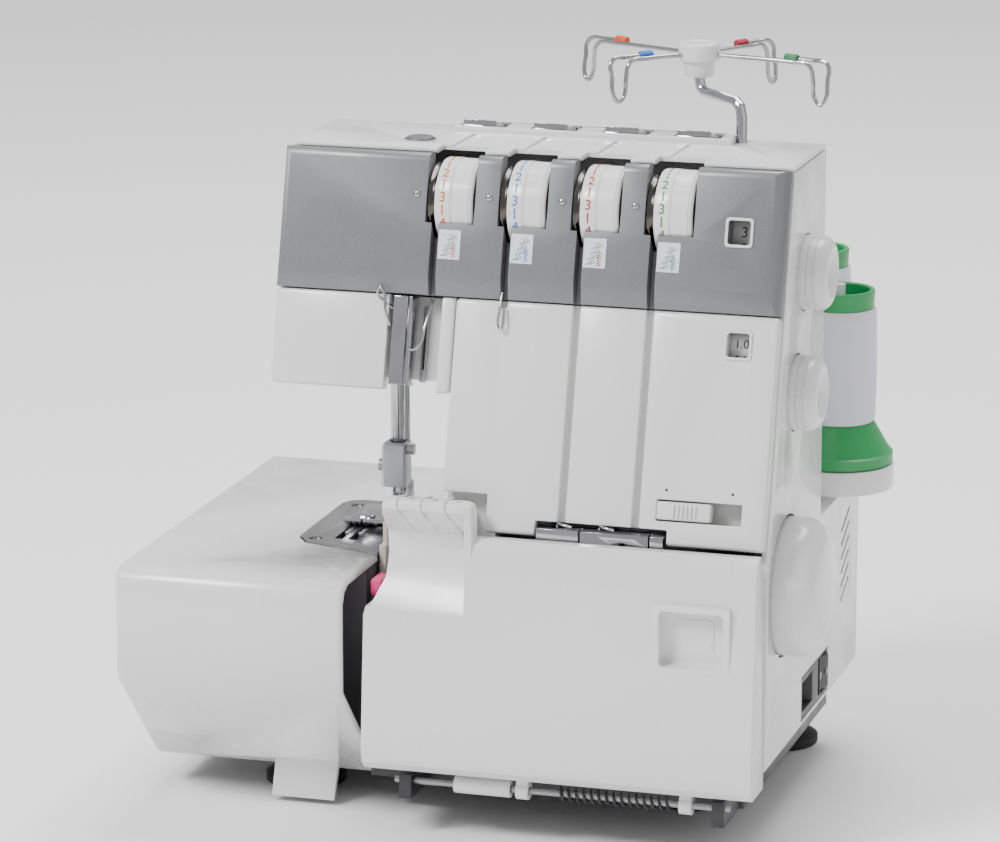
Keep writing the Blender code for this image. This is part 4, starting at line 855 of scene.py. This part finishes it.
class SERGER_OT_hooks(bpy.types.Operator):
    """Bent wire thread hooks of head, column, guides and top"""
    bl_idname = "serger.hooks"
    bl_label = "Wire hooks"

    def execute(self, context):
        x0, x1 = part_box("needle_guard")[0].x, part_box("needle_guard")[1].x

        def on(x, height, out):
            return face_place(x, height, out).translation

        wire(
            "guard_hook",
            [
                on(x0 - 0.001, 0.2500, -0.002), on(x0 - 0.005, 0.2530, 0.001), on(x0 - 0.0075, 0.2560, 0.003),
                on(x0 - 0.0065, 0.2590, 0.004), on(x0 - 0.0045, 0.2575, 0.004),
                on(x0 - 0.0030, 0.2480, 0.003), on(x0 - 0.0010, 0.2420, 0.001)],
            0.0007, "chassis", "chrome")
        wire(
            "guard_guide",
            [
                on(x1 + 0.0085, 0.2555, -0.004), on(x1 + 0.0080, 0.2480, 0.000),
                on(x1 + 0.0072, 0.2420, 0.002), on(x1 + 0.0062, 0.2350, 0.003),
                on(x1 + 0.0030, 0.2315, 0.003), on(x1 + 0.0004, 0.2318, 0.002)],
            0.0007, "chassis", "chrome")
        block(
            "guard_plate", (x1 + 0.0022, 0.0, -0.0130), (x1 + 0.0052, 0.036, -0.0118), "chassis", "plate",
            0.0003, 2, face_place(0.0, 0.2170, 0.0))
        # The slot is a near-black sheet on the plate: painted shade standing for the hollow of the slot.
        block(
            "guard_slot", (x1 + 0.0032, 0.006, -0.0118), (x1 + 0.0042, 0.030, -0.0115), "chassis", "recess_shade",
            0.0001, 1, face_place(0.0, 0.2170, 0.0))
        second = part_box("tension_dial_2")[0].x + 0.0008
        wire(
            "short_channel_hook",
            [
                on(second - 0.0009, 0.2600, 0.0005), on(second - 0.0012, 0.2520, 0.0022),
                on(second - 0.0011, 0.2450, 0.0030), on(second, 0.2433, 0.0031),
                on(second + 0.0011, 0.2450, 0.0030), on(second + 0.0012, 0.2500, 0.0024),
                on(second + 0.0009, 0.2535, 0.0018)],
            0.0006, "chassis", "chrome")
        low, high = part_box("looper_guides")
        for number, x in enumerate((low.x + 0.010, low.x + 0.0305)):
            wire(
                f"looper_guide_pin_{number}",
                [
                    (x, low.y + 0.003, high.z - 0.001), (x, low.y + 0.002, high.z + 0.0022),
                    (x + 0.003, low.y - 0.001, high.z + 0.0030), (x + 0.008, low.y - 0.002, high.z + 0.0024)],
                0.0006, "chassis", "chrome")
        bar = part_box("top_guides")
        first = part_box("tension_dial_1")[0].x + 0.0008 + 0.0030
        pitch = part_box("tension_dial_2")[0].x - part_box("tension_dial_1")[0].x
        for number in range(4):
            x = first + pitch * number
            z = bar[1].z - 0.0016
            y = bar[0].y + 0.002
            wire(
                f"top_guide_wire_{number}",
                [
                    (x + 0.0098, y + 0.006, z - 0.0012), (x + 0.0102, y + 0.001, z + 0.0004),
                    (x + 0.0098, y - 0.0040, z + 0.0012), (x + 0.0085, y - 0.0046, z + 0.0012),
                    (x + 0.0078, y - 0.001, z + 0.0006)],
                0.0005, "chassis", "chrome")
        return {"FINISHED"}


class SERGER_OT_details(bpy.types.Operator):
    """Screws, shield, finger-guard ridges and other small trim"""
    bl_idname = "serger.details"
    bl_label = "Small details"

    def execute(self, context):
        block_low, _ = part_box("looper_block")
        y = block_low.y
        screws = (
            (-0.0482, 0.0985, 0.0024), (-0.0478, 0.1065, 0.0017), (-0.0405, 0.1085, 0.0017),
            (-0.0482, 0.0700, 0.0020))
        for number, (x, z, r) in enumerate(screws):
            self.screw(f"plate_screw_{number}", Vector((x, y, z)), r)
        clamp_low, clamp_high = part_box("needle_clamp")
        block(
            "clamp_shield", (clamp_low.x + 0.0036, clamp_low.y - 0.0034, clamp_high.z - 0.0215),
            (clamp_high.x - 0.0036, clamp_low.y - 0.0024, clamp_high.z - 0.0010), "needle_slide", "clear",
            0.0003, 2)
        for number in range(3):
            x = -0.0300 + 0.0118 * number
            wire(
                f"guard_ridge_{number}",
                [
                    (x + 0.0020, -0.1215, 0.16705), (x + 0.0004, -0.1285, 0.16705), (x, -0.1312, 0.1660),
                    (x + 0.0002, -0.1321, 0.1640), (x + 0.0006, -0.1317, 0.1622),
                    (x + 0.0030, -0.1250, 0.1553), (x + 0.0052, -0.1192, 0.1490)],
                0.00040, "looper_door", "shell")
        marks = []
        for number in range(3):
            x = -0.0268 + 0.0115 * number
            marks.append(
                block(
                    f"guard_mark_{number}", (x, -0.1262, 0.16700), (x + 0.0006, -0.1210, 0.16712),
                    "looper_door", "ink", 0.00003, 1))
            marks.append(
                block(
                    f"guard_tick_{number}", (x + 0.0022, -0.1280, 0.16700), (x + 0.0050, -0.1272, 0.16712),
                    "looper_door", "ink", 0.00003, 1))
        merged("guard_marks", marks)
        low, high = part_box("power_rocker")
        middle = (low.y + high.y) / 2
        ring = []
        for step in range(16):
            turn = 2 * math.pi * step / 16
            ring.append((0.1448, middle - 0.0040 + 0.0011 * math.cos(turn), 0.0550 + 0.0017 * math.sin(turn)))
        wire("switch_ring", ring, 0.00022, "rocker", "shell", False, True)
        wire(
            "switch_bar", [(0.1460, middle + 0.0045, 0.0532), (0.1460, middle + 0.0045, 0.0568)], 0.00024,
            "rocker", "shell", False)
        block(
            "notch_lining", (-0.0098, -0.1046, 0.1250), (0.0110, -0.1038, 0.1740), "chassis", "shell", 0.0002,
            1)
        arrow = [
            (0.1068, 0.1182), (0.1226, 0.1182), (0.1236, 0.1172), (0.1236, 0.1040), (0.1218, 0.1075),
            (0.1228, 0.1075)]
        wire("recess_arrow", [(x, -0.12655, z) for x, z in arrow], 0.00035, "looper_door", "shell", False)
        foot_low, foot_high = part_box("presser_foot")
        block(
            "foot_pad", (foot_low.x + 0.0060, foot_low.y + 0.0060, foot_low.z + 0.0022),
            (foot_low.x + 0.0140, foot_low.y + 0.0095, foot_low.z + 0.0050), "presser", "chrome", 0.0006, 2)
        self.screw("shank_screw", Vector((foot_high.x - 0.0040, -0.0131, 0.1345)), 0.0024, body="presser")
        return {"FINISHED"}

    def screw(self, name, at, radius, body="chassis"):
        """A domed cross-head screw facing the front; its cross recess is near-black sheets of painted shade.
        """
        start_clean()
        bpy.ops.mesh.primitive_cylinder_add(vertices=36, radius=radius, depth=0.0016)
        piece = bpy.context.object
        bpy.ops.object.mode_set(mode="EDIT")
        bpy.ops.mesh.select_all(action="SELECT")
        bpy.ops.mesh.bevel(offset=0.0005, segments=3, affect="EDGES")
        bpy.ops.object.mode_set(mode="OBJECT")
        seat = Matrix.Translation(at + Vector((0, -0.0007, 0)))
        piece.matrix_world = seat @ Matrix.Rotation(math.radians(90), 4, "X")
        finish_piece(piece, name, body, "chrome", 40)
        arms = []
        # Painted shade: the cross recess is two thin near-black sheets on the head, not a hollow.
        for turn in (20, 110):
            head = Matrix.Translation(at + Vector((0, -0.00155, 0)))
            place = head @ Matrix.Rotation(math.radians(turn), 4, "Y")
            arms.append(
                block(
                    f"{name}_cross_{turn}", (-radius * 0.55, -0.00008, -radius * 0.13),
                    (radius * 0.55, 0.0001, radius * 0.13), body, "recess_shade", 0.00002, 1, place))
        merged(name + "_cross", arms)


class SERGER_OT_stage(bpy.types.Operator):
    """Pale floor, soft lights and the camera"""
    bl_idname = "serger.stage"
    bl_label = "Stage"

    def execute(self, context):
        start_clean()
        bpy.ops.mesh.primitive_plane_add(size=14, location=(0, 0, -0.0002))
        floor = bpy.context.object
        floor.name = "studio_floor"
        finish, tree, shader = new_finish("pale floor")
        tint = tinted(
            tree, graded(tree, noise(tree, 3.0), 0.0, 1.0), scaled(tuple(colours().floor), 0.99),
            tuple(colours().floor))
        tree.links.new(tint, shader.inputs["Base Color"])
        shader.inputs["Roughness"].default_value = 0.75
        floor.data.materials.append(finish)
        world = bpy.data.worlds.new("studio")
        world.use_nodes = True
        world.node_tree.nodes["Background"].inputs["Color"].default_value = (1, 1, 1, 1)
        world.node_tree.nodes["Background"].inputs["Strength"].default_value = 0.72
        context.scene.world = world
        for name, at, aim, size, power in (
            ("key", (-1.3, -1.7, 2.2), (0, 0, 0.15), 0.8, 92.0),
            ("fill", (2.3, -1.2, 1.0), (0, 0, 0.15), 1.2, 3.0),
            ("top", (0.2, 1.0, 2.4), (0, 0, 0.2), 1.4, 62.0),
        ):
            lamp = bpy.data.lights.new(name, "AREA")
            lamp.size = size
            lamp.energy = power
            item = bpy.data.objects.new(name + "_light", lamp)
            item.location = at
            item.rotation_euler = (Vector(aim) - Vector(at)).to_track_quat("-Z", "Y").to_euler()
            context.scene.collection.objects.link(item)
        lens = bpy.data.cameras.new("front_right")
        lens.lens = 170.28
        lens.sensor_width = 36
        lens.clip_end = 50
        camera = bpy.data.objects.new("front_right_camera", lens)
        camera.location = (0.6298, -2.1860, 0.7269)
        camera.rotation_euler = (math.radians(76.4), 0, math.radians(16.5))
        context.scene.collection.objects.link(camera)
        context.scene.camera = camera
        return {"FINISHED"}


STEPS = (
    "casings", "metalwork", "handwheel", "knobs", "dials", "front_marks", "cones", "thread_stand", "hooks",
    "details", "stage")


class SERGER_PT_panel(bpy.types.Panel):
    """Lists the steps that finish the machine"""
    bl_idname = "SERGER_PT_panel"
    bl_label = "Serger"
    bl_space_type = "VIEW_3D"
    bl_region_type = "UI"
    bl_category = "Serger"

    def draw(self, context):
        for step in STEPS:
            self.layout.operator("serger." + step)
        for group in (context.scene.serger_colours, context.scene.serger_sizes):
            for name in group.__annotations__:
                self.layout.prop(group, name)


CLASSES = (
    SergerColours, SergerSizes, SERGER_OT_casings, SERGER_OT_metalwork, SERGER_OT_handwheel, SERGER_OT_knobs,
    SERGER_OT_dials, SERGER_OT_front_marks, SERGER_OT_cones, SERGER_OT_thread_stand, SERGER_OT_hooks,
    SERGER_OT_details, SERGER_OT_stage, SERGER_PT_panel,
)


def register():
    for item in CLASSES:
        bpy.utils.register_class(item)
    bpy.types.Scene.serger_colours = PointerProperty(type=SergerColours)
    bpy.types.Scene.serger_sizes = PointerProperty(type=SergerSizes)


def unregister():
    del bpy.types.Scene.serger_sizes
    del bpy.types.Scene.serger_colours
    for item in reversed(CLASSES):
        bpy.utils.unregister_class(item)


def main():
    register()
    FINISHES.update(make_finishes())
    for step in STEPS:
        getattr(bpy.ops.serger, step)()


if __name__ == "__main__":
    main()
